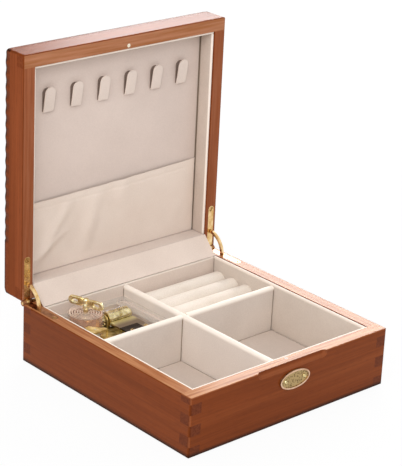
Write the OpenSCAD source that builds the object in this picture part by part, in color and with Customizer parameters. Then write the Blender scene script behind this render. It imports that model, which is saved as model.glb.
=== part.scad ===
// Musical jewellery box: finger-jointed wooden box with a lined lid on two quadrant hinges,
// crossing dividers, ring rolls and a key-wound musical movement.
// Frame: X along the front, Y to the back, Z up, origin under the middle of the felt underside.
// The lid stands open; its pieces are drawn closed and turned about the hinge axis.

/* [Box] */
// Width of the box along the front
box_w = 210; // [190:1:240]
// Depth of the box from front to back
box_d = 208; // [190:1:240]
// Height of the base from the felt underside to the rim
base_h = 51; // [46:0.5:60]
// Depth of the lid from its rim to its outer top
lid_h = 27; // [23:0.2:32]
// Thickness of the side boards
wall_t = 11; // [8.5:0.1:11]
// Rounding of the four upright corners
corner_r = 2; // [1:0.1:3]
// Rounding of the rim and bottom edges
edge_r = 1; // [0.4:0.1:1.5]
// Rounding of the lid's outer top edge
lid_edge_r = 4; // [2:0.1:6]
// Height of one finger of the corner joints
finger_h = 8.9; // [7:0.1:12]
// Thickness of the lid's top panel
lid_top_t = 9; // [6:0.1:9]
// Thickness of the plywood bottom
bottom_t = 5.5; // [4:0.1:7]
// Depth of the rabbet that holds the bottom, into the boards
rabbet_d = 4.5; // [3:0.1:5.5]
// Thickness of the felt underside
felt_t = 1; // [0.6:0.1:2]
// Distance of the felt from the outer faces
felt_inset = 4; // [2:0.5:8]

/* [Lining] */
// Thickness of the cloth-covered wall linings
lining_t = 2; // [1.5:0.1:2.6]
// Distance of the linings' edges from the rims
lining_drop = 1.3; // [0.8:0.1:2]
// Thickness of the padded floor lining
floor_lining_t = 3; // [1.5:0.1:4]
// Thickness of the lid's panel lining
lid_lining_t = 1.8; // [1:0.1:2.4]
// Thickness of the padded dividers
divider_t = 6; // [4:0.2:7]
// Distance of the dividers' tops below the rim
divider_drop = 2.5; // [1.5:0.1:5]
// Width of the movement's compartment, from the left lining to the long divider
well_w = 82; // [80:0.2:110]
// Depth of the two back compartments, from the back lining to the cross divider
well_d = 71; // [71:0.2:100]
// Number of ring rolls
roll_count = 4; // [3:1:5]
// Distance of the rolls' crowns below the rim
roll_drop = 10.4; // [8:0.2:16]
// Gap between neighbouring rolls
roll_gap = 0.4; // [0.2:0.1:1]
// Rounding at the ends of a roll
roll_end_r = 5; // [3:0.5:7]

/* [Hinges] */
// Distance of the hinge axis behind the back face
hinge_back = 1.5; // [1.2:0.1:2]
// Width of a hinge leaf
leaf_w = 6; // [5.4:0.1:6.6]
// Thickness of a hinge leaf
leaf_t = 1.4; // [1:0.1:1.6]
// Length of a leaf from the hinge axis to its round end
leaf_len = 40; // [36:0.5:46]
// Distance of the leaf screw from the hinge axis
leaf_screw_at = 37; // [32:0.2:37]
// Radius of the knuckle
knuckle_r = 2.4; // [2:0.1:2.8]
// Length of the knuckle
knuckle_len = 9; // [7.5:0.1:9]
// Radius of the hinge pin
pin_r = 1.1; // [0.8:0.05:1.3]
// Mean radius of the curved stay arms
arm_r = 16.5; // [15.5:0.1:16.8]
// Width of a stay arm across its curve
arm_w = 2.6; // [2:0.1:2.8]
// Thickness of a stay arm
arm_t = 2; // [1.4:0.1:2.2]
// Radius of the stop lug at each arm end
lug_r = 1.1; // [0.8:0.05:1.2]
// Length of a stop lug
lug_len = 4.2; // [3.4:0.1:4.4]

/* [Lid fittings] */
// Number of necklace tabs
tab_count = 6; // [4:1:6]
// Distance between tabs
tab_pitch = 28; // [24:0.5:30]
// Width of a tab
tab_w = 10; // [8:0.5:12]
// Length of a tab
tab_len = 21.5; // [16:0.5:26]
// Thickness of a tab
tab_t = 2.2; // [1.5:0.1:3]
// Gap between a tab and the lining
tab_gap = 3.2; // [2.4:0.1:4]
// Distance of the tabs' round ends from the lid's inner front
tab_from_front = 21; // [12:0.5:35]
// Height of the pocket up the lid, from the back lining to the middle of its hem
pocket_h = 65.4; // [50:0.2:80]
// How much higher the hem is at the right than at the left
hem_tilt = 4.6; // [0:0.2:10]
// Thickness of the pocket cloth
pocket_t = 1; // [0.8:0.1:1.4]
// Fullness of the pocket in its middle
pocket_full = 1.7; // [0.8:0.1:2]
// Depth of the gathers below the hem
gather_d = 0.4; // [0.1:0.05:0.5]
// Number of gathers along the hem
gather_count = 9; // [5:1:12]
// Thickness of the cloth hinge strip
strip_t = 0.8; // [0.6:0.1:1]

/* [Front] */
// Length of the thumb recess
recess_len = 74; // [50:1:100]
// Depth of the thumb recess at the rim
recess_d = 3; // [2:0.1:3.4]
// Radius of the ball-nosed cutter that makes the recess
recess_r = 5; // [4:0.5:8]
// Width of the oval plate
plate_w = 31.4; // [26:0.2:36]
// Height of the oval plate
plate_h = 15.8; // [12:0.2:18]
// Thickness of the oval plate
plate_t = 0.9; // [0.7:0.05:1.4]
// Width of the raised border of the plate
plate_rim_w = 1.3; // [0.8:0.1:2]
// Height of the raised border
plate_rim_h = 0.6; // [0.3:0.05:1]
// Place of the plate's centre to the right of the middle
plate_x = 2; // [-10:0.5:10]
// Height of the plate's centre
plate_z = 36.4; // [24:0.2:37]
// Distance between the plate's screws
plate_screw_gap = 20; // [16:0.2:22]
// Radius of the round magnets
magnet_r = 1.6; // [1.2:0.1:2.4]
// Length of the magnets
magnet_len = 5; // [3:0.2:8]

/* [Movement] */
// Width of the ledge that carries the clear deck
ledge_w = 3.2; // [2.4:0.1:3.2]
// Thickness of the clear deck
deck_t = 3; // [2:0.1:4]
// Distance of the deck's top below the rim
deck_drop = 12; // [11:0.2:13]
// Distance of the barrel axis from the left lining
barrel_from_left = 22.5; // [22.2:0.1:26]
// Distance of the barrel axis from the back lining
barrel_from_back = 24.8; // [24:0.2:32]
// Outer radius of the clear spring barrel
barrel_r = 15; // [13:0.1:15]
// Wall of the clear spring barrel
barrel_wall = 0.8; // [0.6:0.1:1.2]
// Distance of the barrel's top below the rim
barrel_drop = 1.8; // [1:0.1:4]
// Radius of the key arbor
arbor_r = 2; // [1.6:0.05:2.4]
// Number of turns of the mainspring
spring_turns = 6; // [4:1:8]
// Thickness of the mainspring strip
spring_t = 0.5; // [0.3:0.05:0.6]
// Length of the butterfly key from wing tip to wing tip
key_len = 33.2; // [28:0.2:36]
// Height of the key's wings
key_h = 7.6; // [6:0.2:8]
// Thickness of the key's wings
key_t = 1.9; // [1.4:0.1:2.4]
// Way the key points at rest, turned from the X axis
key_turn = -71; // [-90:1:90]
// Gap between the key and the pocket when the lid is shut
key_gap = 2.8; // [0.8:0.1:3]
// Radius of the pinned cylinder
drum_r = 6.5; // [5.5:0.1:6.8]
// Length of the pinned cylinder
drum_len = 22; // [18:0.5:26]
// Radius of the cylinder's shaft
shaft_r = 1.5; // [1:0.05:1.8]
// Number of teeth on the comb
comb_teeth = 18; // [12:1:24]
// Width of the comb
comb_w = 24; // [20:0.5:26]
// Distance of the bedplate's front edge from the ledge
bed_front = 6.2; // [3:0.1:8]
// Thickness of the comb
comb_t = 1.4; // [1:0.1:2]
// Width of a cut between comb teeth
comb_slit = 0.4; // [0.3:0.05:0.6]
// Gap between the comb tips and the cylinder
comb_gap = 0.9; // [0.7:0.05:1.5]
// Thickness of the bedplate
bed_t = 3; // [2:0.1:4]

/* [Hidden] */
$fn = 64;

// Colours of the woods, cloths and metals
wood_colour = "#8a4b30";
cloth_colour = "#dccbbd";
brass_colour = "#d4ac62";
steel_colour = "#4a4744";
black_colour = "#1c1a1a";
grey_colour = "#a0968f";
clear_colour = [0.86, 0.86, 0.92, 0.35];

// General clearances: cutters run past a face, seats for loose fits, running fits and moving parts
over = 5;
seat = 0.1;
running = 0.05;
free = 0.3;

// Inner faces of the boards and of the linings
wood_x = box_w / 2 - wall_t;
wood_y = box_d / 2 - wall_t;
in_x = wood_x - lining_t;
in_y = wood_y - lining_t;
floor_z = felt_t + bottom_t + floor_lining_t;
lining_top = base_h - lining_drop;
divider_top = base_h - divider_drop;

// Closed lid: frame, cavity and the underside of its panel lining
lid_frame_h = lid_h - lid_top_t;
lid_panel_z = base_h + lid_frame_h - lid_lining_t;
lid_open = 90;

// Hinges: axis, middle of the side boards, mortises and swing of the stay arms
hinge_y = box_d / 2 + hinge_back;
leaf_x = box_w / 2 - wall_t / 2;
leaf_flush = 0.05;
leaf_screw_r = 1.2;
leaf_screw_head_r = 2.1;
leaf_screw_len = 9;
knuckle_mid = knuckle_len / 6;
arm_past = 10.5;
lug_past = 10;
arm_slot_w = lug_len + 2 * free;
arm_slot_r = arm_w / 2 + 2 * free;
arm_slot_over = 6;
arm_slot_end = lid_open / 2 + arm_past + arm_slot_over;
arm_slot_start = 2;

// Front fittings
recess_y = -box_d / 2 - recess_r + recess_d;
recess_z = base_h - edge_r;
recess_run_out = sqrt(pow(recess_r, 2) - pow(recess_r - recess_d, 2));
recess_x = recess_len / 2 - recess_run_out;
plate_screw_r = 1;
plate_screw_len = 7;
plate_head_r = 1.7;
magnet_y = -box_d / 2 + wall_t - 2.6;

// Pocket: corners on the panel lining and steps of its cloth
pocket_edge = 0.6;
pocket_lift = 0.4;
pocket_slack = 0.92;
pocket_x = in_x - pocket_edge;
pocket_back = in_y - pocket_edge;
pocket_cols = 32;
pocket_rows = 12;
pocket_deep = pocket_lift + pocket_full + gather_d + pocket_t;

// Compartment of the movement and the dividers beside it
well_x0 = -in_x;
well_x1 = well_x0 + well_w;
well_y1 = in_y;
well_y0 = well_y1 - well_d;
long_x = well_x1 + divider_t / 2;
cross_y = well_y0 - divider_t / 2;
divider_half = (floor_z + divider_top) / 2;
deck_z = base_h - deck_drop - deck_t;
deck_gap = 0.2;
pad_t = 1.2;
bed_drop = 6.5;
bed_top = deck_z - bed_drop;
bed_z = bed_top - bed_t;
bed_margin = 1;

// Barrel and its wheel: spur teeth on the rim for the governor, crown teeth on top for the cylinder
barrel_x = well_x0 + barrel_from_left;
barrel_y = well_y1 - barrel_from_back;
barrel_top = base_h - barrel_drop;
barrel_roof = 1.2;
wheel_z = bed_top + free;
wheel_t = 1.3;
crown_z = wheel_z + wheel_t;
crown_teeth = 36;
crown_w = 1.8;
crown_h = 1.4;
crown_r0 = barrel_r + free;
crown_r1 = crown_r0 + crown_w;
crown_r = (crown_r0 + crown_r1) / 2;
crown_fill = 0.34;
crown_tooth_w = crown_fill * 2 * PI * crown_r / crown_teeth;
spur_rim = 0.88;
spur_teeth = 62;
spur_r = crown_r1 + spur_rim;
tooth_m = 2 * spur_r / spur_teeth;
addendum = 0.75;
dedendum = 1.05;
spur_tip = spur_r + addendum * tooth_m;
mesh_gap = 0.1;

// Cylinder, its pinion and its brackets, along X through the barrel axis
pinion_teeth = 10;
pinion_r = crown_r * pinion_teeth / crown_teeth;
pinion_add = 0.6;
pinion_ded = 0.9;
pinion_floor = 0.15;
drum_z = crown_z + pinion_floor + pinion_r + pinion_add;
pinion_x0 = barrel_x + crown_r0 + seat;
pinion_x1 = barrel_x + crown_r1 + seat;
bracket_t = 1.6;
side_gap = 0.6;
bracket_x0 = max(pinion_x1 + side_gap, barrel_x + spur_tip + free);
drum_x0 = bracket_x0 + bracket_t + side_gap;
drum_x1 = drum_x0 + drum_len;
bracket_x1 = drum_x1 + side_gap;
bracket_w = 9;
shaft_end = 0.6;

// Comb on its step, tips level with the cylinder axis
comb_x = (drum_x0 + drum_x1) / 2;
comb_tip_y = barrel_y - drum_r - comb_gap;
comb_body = 11;
comb_y0 = well_y0 + ledge_w + bed_front + bed_margin;
comb_tooth_len = comb_tip_y - comb_y0 - comb_body;
comb_rise = 0.3;
comb_z = drum_z + comb_rise - comb_t;
comb_screw_r = 1.2;
comb_screw_head_r = 2.2;
comb_screw_head_h = 1.3;
comb_screw_gap = 14;
comb_screw_len = 6;

// Bedplate outline
bed_x0 = barrel_x - spur_tip - deck_gap;
bed_x1 = bracket_x1 + bracket_t + 2.5 * bed_margin;
bed_y0 = comb_y0 - bed_margin;
bed_y1 = barrel_y + spur_tip + bed_margin;

// Governor: a pinion and wheel on one arbor, driven by the barrel wheel, and the fly beside it
gov_teeth = 8;
gov_angle = 240;
gov_r = gov_teeth * tooth_m / 2;
gov_apart = spur_r + gov_r + mesh_gap;
gov_x = barrel_x + gov_apart * cos(gov_angle);
gov_y = barrel_y + gov_apart * sin(gov_angle);
fly_m = 0.4;
gov_wheel_teeth = 20;
fly_teeth = 8;
fly_angle = 290;
fly_apart = (gov_wheel_teeth + fly_teeth) * fly_m / 2 + mesh_gap;
fly_x = gov_x + fly_apart * cos(fly_angle);
fly_y = gov_y + fly_apart * sin(fly_angle);
gov_arbor_r = 0.8;
gov_level = 1.4;
gov_wheel_z = crown_z + crown_h + gov_level;
gov_wheel_t = 1.2;
fly_vane_r = 4.5;
fly_vane_z = gov_wheel_z + gov_wheel_t + gov_level;
fly_vane_h = 5.6;
fly_vane_t = 0.6;
bridge_z = fly_vane_z + fly_vane_h + side_gap;
bridge_t = 1.5;
bridge_post_r = 1.6;
bridge_post_x = 6.8;
bridge_post_y = 3;
bridge_posts = [for (s = [-1, 1]) [fly_x + s * bridge_post_x, fly_y - bridge_post_y]];
bridge_margin = 2;
bridge_eye_r = 3;
arbor_dip = 1.2;

// Key: as high as the shut lid allows
key_top = lid_panel_z - pocket_deep - key_gap;
key_z = key_top - key_h / 2;
key_hub_r = 2.7;
key_hub_drop = 1.6;
key_eye = 0.5;
arbor_z0 = bed_top - 2 * arbor_dip;
arbor_top = key_z + 1;

// Mainspring: a flat strip wound from near the arbor to near the barrel wall
spring_clear = 0.9;
spring_r0 = arbor_r + spring_clear + side_gap;
spring_r1 = barrel_r - barrel_wall - spring_t / 2 - free;
spring_pitch = (spring_r1 - spring_r0) / spring_turns;
spring_step = 15;
spring_steps = spring_turns * 360 / spring_step;
spring_z0 = crown_z + spring_clear;
spring_z1 = barrel_top - barrel_roof - spring_clear;

function spring_point(i, side) =
    let (a = i * spring_step, r = spring_r0 + spring_pitch * a / 360 + side * spring_t / 2)
    [r * cos(a), r * sin(a)];
spring_turn_steps = 360 / spring_step;
spring_gap = min([for (i = [0 : spring_steps - spring_turn_steps])
    norm(spring_point(i, 1) - spring_point(i + spring_turn_steps, -1))]);
echo(least_mainspring_gap = spring_gap);

// Toothed outline with straight flanks, one tooth pointing along X
function tooth_ring(teeth, tip, root) = let (p = 360 / teeth) [
    for (i = [0 : teeth - 1], q = [[root, -0.27], [tip, -0.11], [tip, 0.11], [root, 0.27]])
        [q[0] * cos((i + q[1]) * p), q[0] * sin((i + q[1]) * p)]
];

// Flat shapes and placing helpers
module rounded_rect(w, h, r) {
    square([w - 2 * r, h], center = true);
    square([w, h - 2 * r], center = true);
    for (x = [-1, 1], y = [-1, 1])
        translate([x * (w / 2 - r), y * (h / 2 - r)]) circle(r);
}

module stadium(length, width) {
    square([length - width, width], center = true);
    for (s = [-1, 1]) translate([s * (length - width) / 2, 0]) circle(width / 2);
}

module box(x0, x1, y0, y1, z0, z1) {
    translate([x0, y0, z0]) cube([x1 - x0, y1 - y0, z1 - z0]);
}

module along_x(x0, x1) {
    translate([x0, 0, 0]) rotate([90, 0, 90]) linear_extrude(x1 - x0) children();
}

module along_y(y0, y1) {
    translate([0, y1, 0]) rotate([90, 0, 0]) linear_extrude(y1 - y0) children();
}

module rod_x(x0, x1, y, z, r) {
    translate([x0, y, z]) rotate([0, 90, 0]) cylinder(r = r, h = x1 - x0);
}

module mirror_x() {
    children();
    mirror([1, 0, 0]) children();
}

module lid_pose() {
    translate([0, hinge_y, base_h]) rotate([-lid_open, 0, 0]) translate([0, -hinge_y, -base_h]) children();
}

// Block with rounded upright corners and softened level edges
module soft_block(z0, z1) {
    h = z1 - z0;
    intersection() {
        translate([0, 0, z0]) linear_extrude(h) rounded_rect(box_w, box_d, corner_r);
        along_x(-box_w, box_w) translate([0, z0 + h / 2]) rounded_rect(box_d, h, edge_r);
        along_y(-box_d, box_d) translate([0, z0 + h / 2]) rounded_rect(box_w, h, edge_r);
    }
}

// Finger rows cut from both ends of a board, counted from z0; a thin last row joins the one below it
thin_row = 0.25;

module row_cuts(x0, x1, y0, y1, z0, z1, first) {
    rows = ceil((z1 - z0) / finger_h - thin_row);
    for (k = [first : 2 : rows - 1])
        box(x0, x1, y0, y1, z0 + k * finger_h, k == rows - 1 ? z1 + over : z0 + (k + 1) * finger_h);
}

module end_fingers(z0, z1, first, along) {
    for (s = [-1, 1]) {
        a0 = s > 0 ? wood_x : -box_w;
        a1 = s > 0 ? box_w : -wood_x;
        b0 = s > 0 ? wood_y : -box_d;
        b1 = s > 0 ? box_d : -wood_y;
        if (along == "x") row_cuts(a0, a1, -box_d, box_d, z0, z1, first);
        else row_cuts(-box_w, box_w, b0, b1, z0, z1, first);
    }
}

module long_board(z0, z1, side, first) {
    y0 = side < 0 ? -box_d : wood_y;
    y1 = side < 0 ? -wood_y : box_d;
    difference() {
        box(-box_w, box_w, y0, y1, z0, z1);
        end_fingers(z0, z1, first, "x");
    }
}

module end_board(z0, z1, side, first) {
    x0 = side < 0 ? -box_w : wood_x;
    x1 = side < 0 ? -wood_x : box_w;
    difference() {
        box(x0, x1, -box_d, box_d, z0, z1);
        end_fingers(z0, z1, first, "y");
    }
}

// Room for one hinge in a closed rim: leaf mortise, knuckle groove, arm slot and screw hole
module leaf_outline(grow) {
    r = leaf_w / 2 + grow;
    translate([-r, hinge_y - leaf_len + leaf_w / 2]) square([2 * r, leaf_len]);
    translate([0, hinge_y - leaf_len + leaf_w / 2]) circle(r);
}

module arm_sector(r0, r1, a0, a1) {
    reach = 2 * r1;
    intersection() {
        difference() {
            circle(r1);
            circle(r0);
        }
        polygon([[0, 0], reach * [cos(a0), sin(a0)], reach * [cos((a0 + a1) / 2), sin((a0 + a1) / 2)],
            reach * [cos(a1), sin(a1)]]);
    }
}

module hinge_room(up) {
    mirror_x() translate([leaf_x, 0, 0]) {
        z0 = up > 0 ? base_h - over : base_h - leaf_t;
        z1 = up > 0 ? base_h + leaf_t : base_h + over;
        translate([0, 0, z0]) linear_extrude(z1 - z0) leaf_outline(seat);
        rod_x(-knuckle_len / 2 - free, knuckle_len / 2 + free, hinge_y, base_h, knuckle_r + free);
        translate([0, hinge_y, base_h]) along_x(-arm_slot_w / 2, arm_slot_w / 2)
            arm_sector(arm_r - arm_slot_r, arm_r + arm_slot_r, 180 - (up > 0 ? arm_slot_end : arm_slot_start),
                180 + (up > 0 ? arm_slot_start : arm_slot_end));
        translate([0, hinge_y - leaf_screw_at, up > 0 ? base_h : base_h - leaf_screw_len - seat])
            cylinder(r = leaf_screw_r + running, h = leaf_screw_len + seat);
    }
}

// Base woodwork
module base_block() {
    soft_block(felt_t, base_h);
}

module bottom_room() {
    x = wood_x + rabbet_d;
    y = wood_y + rabbet_d;
    box(-x, x, -y, y, felt_t - over, felt_t + bottom_t);
}

module base_front() {
    color(wood_colour) difference() {
        intersection() {
            base_block();
            long_board(felt_t, base_h, -1, 0);
        }
        bottom_room();
        rod_x(-recess_x, recess_x, recess_y, recess_z, recess_r);
        for (s = [-1, 1]) translate([s * recess_x, recess_y, recess_z]) sphere(recess_r);
        translate([0, magnet_y, base_h - magnet_len]) cylinder(r = magnet_r + running, h = magnet_len + over);
        for (s = [-1, 1])
            translate([plate_x + s * plate_screw_gap / 2, -box_d / 2 - over, plate_z])
                rotate([-90, 0, 0]) cylinder(r = plate_screw_r + running, h = plate_screw_len + over);
    }
}

module base_back() {
    color(wood_colour) difference() {
        intersection() {
            base_block();
            long_board(felt_t, base_h, 1, 0);
        }
        bottom_room();
        hinge_room(-1);
        strip_rebate(-1);
    }
}

module base_side(side) {
    color(wood_colour) difference() {
        intersection() {
            base_block();
            end_board(felt_t, base_h, side, 1);
        }
        bottom_room();
        hinge_room(-1);
    }
}

module base_left() {
    base_side(-1);
}

module base_right() {
    base_side(1);
}

module base_bottom() {
    x = wood_x + rabbet_d - seat;
    y = wood_y + rabbet_d - seat;
    color("#b98e66") box(-x, x, -y, y, felt_t, felt_t + bottom_t);
}

module base_felt() {
    color("#3b2a22") linear_extrude(felt_t)
        rounded_rect(box_w - 2 * felt_inset, box_d - 2 * felt_inset, corner_r);
}

// Base lining
module floor_lining() {
    color(cloth_colour) box(-wood_x, wood_x, -wood_y, wood_y, floor_z - floor_lining_t, floor_z);
}

module lining_front() {
    color(cloth_colour) box(-wood_x, wood_x, -wood_y, -in_y, floor_z, lining_top);
}

module lining_back() {
    color(cloth_colour) box(-wood_x, wood_x, in_y, wood_y, floor_z, lining_top);
}

module lining_left() {
    color(cloth_colour) box(-wood_x, -in_x, -in_y, in_y, floor_z, lining_top);
}

module lining_right() {
    color(cloth_colour) box(in_x, wood_x, -in_y, in_y, floor_z, lining_top);
}

// Padded divider: a board with a round top, halved where the two cross
module divider_outline() {
    r = divider_t / 2;
    translate([-r, floor_z]) square([divider_t, divider_top - r - floor_z]);
    translate([0, divider_top - r]) circle(r);
}

module divider_cross() {
    r = divider_t / 2;
    color(cloth_colour) difference() {
        along_x(-in_x, in_x) translate([cross_y, 0]) divider_outline();
        box(long_x - r, long_x + r, cross_y - divider_t, cross_y + divider_t, divider_half, base_h);
    }
}

module divider_long() {
    r = divider_t / 2;
    color(cloth_colour) difference() {
        along_y(-in_y, in_y) translate([long_x, 0]) divider_outline();
        box(long_x - divider_t, long_x + divider_t, cross_y - r, cross_y + r, 0, divider_half);
    }
}

// Ring rolls: padded rolls with round crowns and drawn-in ends, side by side in the back right
roll_x0 = long_x + divider_t / 2;
roll_pitch = well_d / roll_count;
roll_top = base_h - roll_drop;

module ring_rolls() {
    r = (roll_pitch - roll_gap) / 2;
    length = in_x - roll_x0 - roll_gap;
    color("#e6d8cb") for (i = [0 : roll_count - 1])
        translate([0, well_y0 + (i + 0.5) * roll_pitch, 0]) intersection() {
            along_x(roll_x0, in_x) {
                translate([-r, floor_z]) square([2 * r, roll_top - r - floor_z]);
                translate([0, roll_top - r]) circle(r);
            }
            along_y(-roll_pitch, roll_pitch) translate([(roll_x0 + in_x) / 2, roll_top - base_h / 2])
                rounded_rect(length, base_h, roll_end_r);
        }
}

// Movement well
module well_frame() {
    color(cloth_colour) difference() {
        box(well_x0, well_x1, well_y0, well_y1, floor_z, deck_z);
        box(well_x0 + ledge_w, well_x1 - ledge_w, well_y0 + ledge_w, well_y1 - ledge_w, 0, base_h);
    }
}

module sound_block() {
    color(grey_colour) box(bed_x0, bed_x1, bed_y0, bed_y1, floor_z, bed_z - pad_t);
}

module damping_pad() {
    color(black_colour) box(bed_x0, bed_x1, bed_y0, bed_y1, bed_z - pad_t, bed_z);
}

module clear_deck() {
    notch_r = 8;
    color(clear_colour) difference() {
        box(well_x0 + deck_gap, well_x1 - deck_gap, well_y0 + deck_gap, well_y1 - deck_gap,
            deck_z, deck_z + deck_t);
        box(bed_x0 + side_gap, bed_x1 + bed_margin, bed_y0 + side_gap, bed_y1, 0, base_h);
        translate([well_x1, well_y0, 0]) cylinder(r = notch_r, h = base_h);
    }
}

// Fixed pieces of the movement
module bedplate() {
    color(brass_colour) difference() {
        union() {
            box(bed_x0, bed_x1, bed_y0, bed_y1, bed_z, bed_top);
            box(comb_x - comb_w / 2, comb_x + comb_w / 2, comb_y0, comb_y0 + comb_body - bed_margin,
                bed_top - seat, comb_z);
        }
        translate([barrel_x, barrel_y, arbor_z0]) cylinder(r = arbor_r + running, h = bed_t + over);
        for (p = [[gov_x, gov_y], [fly_x, fly_y]])
            translate([p[0], p[1], bed_top - arbor_dip - seat]) cylinder(r = gov_arbor_r + running, h = over);
        for (s = [-1, 1])
            translate([comb_x + s * comb_screw_gap / 2, comb_y0 + comb_body / 2, comb_z - comb_screw_len])
                cylinder(r = comb_screw_r + running, h = comb_screw_len + over);
        bracket_feet(seat);
        for (p = bridge_posts)
            translate([p[0], p[1], bed_top - arbor_dip]) cylinder(r = bridge_post_r + running, h = over);
    }
}

module comb() {
    tooth_pitch = comb_w / comb_teeth;
    color(steel_colour) difference() {
        box(comb_x - comb_w / 2, comb_x + comb_w / 2, comb_y0, comb_tip_y, comb_z, comb_z + comb_t);
        for (i = [1 : comb_teeth - 1])
            box(comb_x - comb_w / 2 + i * tooth_pitch - comb_slit / 2,
                comb_x - comb_w / 2 + i * tooth_pitch + comb_slit / 2,
                comb_tip_y - comb_tooth_len, comb_tip_y + over, 0, base_h);
        for (s = [-1, 1])
            translate([comb_x + s * comb_screw_gap / 2, comb_y0 + comb_body / 2, 0])
                cylinder(r = comb_screw_r + running, h = base_h);
    }
}

module comb_screws() {
    color(brass_colour) for (s = [-1, 1])
        translate([comb_x + s * comb_screw_gap / 2, comb_y0 + comb_body / 2, comb_z + comb_t]) {
            translate([0, 0, -comb_screw_len]) cylinder(r = comb_screw_r, h = comb_screw_len);
            cylinder(r = comb_screw_head_r, h = comb_screw_head_h);
        }
}

module bracket_feet(grow) {
    for (x = [bracket_x0, bracket_x1])
        box(x - grow, x + bracket_t + grow, barrel_y - bracket_w / 4 - grow, barrel_y + bracket_w / 4 + grow,
            bed_top - arbor_dip, bed_top + (grow > 0 ? over : 0));
}

module cylinder_brackets() {
    color(brass_colour) difference() {
        union() {
            bracket_feet(0);
            for (x = [bracket_x0, bracket_x1]) {
                box(x, x + bracket_t, barrel_y - bracket_w / 2, barrel_y + bracket_w / 2, bed_top, drum_z);
                rod_x(x, x + bracket_t, barrel_y, drum_z, bracket_w / 2);
            }
        }
        rod_x(bracket_x0 - over, bracket_x1 + over, barrel_y, drum_z, shaft_r + running);
    }
}

module governor_bridge() {
    left = bridge_posts[0];
    right = bridge_posts[1];
    color(brass_colour) difference() {
        union() {
            translate([0, 0, bridge_z]) linear_extrude(bridge_t) {
                polygon([[left[0], left[1] - bridge_margin], [right[0], right[1] - bridge_margin],
                    [right[0] + bridge_margin, right[1]], [gov_x + bridge_eye_r, gov_y],
                    [gov_x - bridge_eye_r, gov_y], [left[0] - bridge_margin, left[1]]]);
                translate([gov_x, gov_y]) circle(bridge_eye_r);
                for (p = bridge_posts) translate(p) circle(bridge_margin);
            }
            for (p = bridge_posts)
                translate([p[0], p[1], bed_top - arbor_dip])
                    cylinder(r = bridge_post_r, h = bridge_z + bridge_t / 2 - bed_top + arbor_dip);
        }
        for (p = [[gov_x, gov_y], [fly_x, fly_y]])
            translate([p[0], p[1], bridge_z - over]) cylinder(r = gov_arbor_r + running, h = 3 * over);
    }
}

// Key and arbor
module winding_key() {
    wing = key_len / 2 - key_hub_r * 0.6;
    wing_mid = key_hub_r * 0.6 + wing / 2;
    color(brass_colour) translate([barrel_x, barrel_y, key_z]) rotate([0, 0, key_turn]) difference() {
        union() {
            translate([0, 0, -key_h / 2 - key_hub_drop]) cylinder(r = key_hub_r, h = key_h + key_hub_drop);
            along_y(-key_t / 2, key_t / 2)
                for (s = [-1, 1]) translate([s * wing_mid, 0]) stadium(wing, key_h);
        }
        along_y(-key_t, key_t) for (s = [-1, 1])
            translate([s * (wing_mid + key_h * 0.12), 0]) stadium(wing * 0.62, key_h * key_eye);
        translate([0, 0, -key_h]) cylinder(r = arbor_r + seat / 4, h = key_h + arbor_top - key_z);
    }
}

module key_arbor() {
    color(brass_colour) translate([barrel_x, barrel_y, arbor_z0])
        cylinder(r = arbor_r, h = arbor_top - arbor_z0);
}

// Barrel, its wheel and the mainspring
module spring_barrel() {
    color(clear_colour) translate([barrel_x, barrel_y, 0]) difference() {
        translate([0, 0, crown_z]) cylinder(r = barrel_r, h = barrel_top - crown_z);
        translate([0, 0, crown_z - over])
            cylinder(r = barrel_r - barrel_wall, h = barrel_top - barrel_roof - crown_z + over);
        cylinder(r = arbor_r + running, h = base_h + over);
    }
}

module barrel_wheel() {
    color(brass_colour) translate([barrel_x, barrel_y, wheel_z]) difference() {
        union() {
            linear_extrude(wheel_t)
                polygon(tooth_ring(spur_teeth, spur_tip, spur_r - dedendum * tooth_m));
            for (i = [0 : crown_teeth - 1]) rotate([0, 0, (i + 0.5) * 360 / crown_teeth])
                box(crown_r0, crown_r1, -crown_tooth_w / 2, crown_tooth_w / 2,
                    wheel_t - seat, wheel_t + crown_h);
        }
        translate([0, 0, -over]) cylinder(r = arbor_r + running, h = 3 * over);
    }
}

module mainspring() {
    color("#8d8fa8") translate([barrel_x, barrel_y, spring_z0]) linear_extrude(spring_z1 - spring_z0)
        polygon(concat([for (i = [0 : spring_steps]) spring_point(i, 1)],
            [for (i = [spring_steps : -1 : 0]) spring_point(i, -1)]));
}

// Cylinder with its shaft and pinion
module pin_cylinder() {
    color("#cdb45e") difference() {
        rod_x(drum_x0, drum_x1, barrel_y, drum_z, drum_r);
        rod_x(drum_x0 - over, drum_x1 + over, barrel_y, drum_z, shaft_r + running / 2);
    }
}

module cylinder_shaft() {
    color(steel_colour)
        rod_x(pinion_x0 - shaft_end / 2, bracket_x1 + bracket_t + shaft_end, barrel_y, drum_z, shaft_r);
}

module cylinder_pinion() {
    color(brass_colour) translate([0, barrel_y, drum_z]) difference() {
        along_x(pinion_x0, pinion_x1) rotate(-90)
            polygon(tooth_ring(pinion_teeth, pinion_r + pinion_add, pinion_r - pinion_ded));
        rod_x(pinion_x0 - over, pinion_x1 + over, 0, 0, shaft_r + running / 2);
    }
}

// Governor wheel and fly on their arbors
module governor_arbor() {
    translate([0, 0, bed_top - arbor_dip])
        cylinder(r = gov_arbor_r, h = bridge_z + bridge_t - bed_top + arbor_dip);
}

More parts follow.
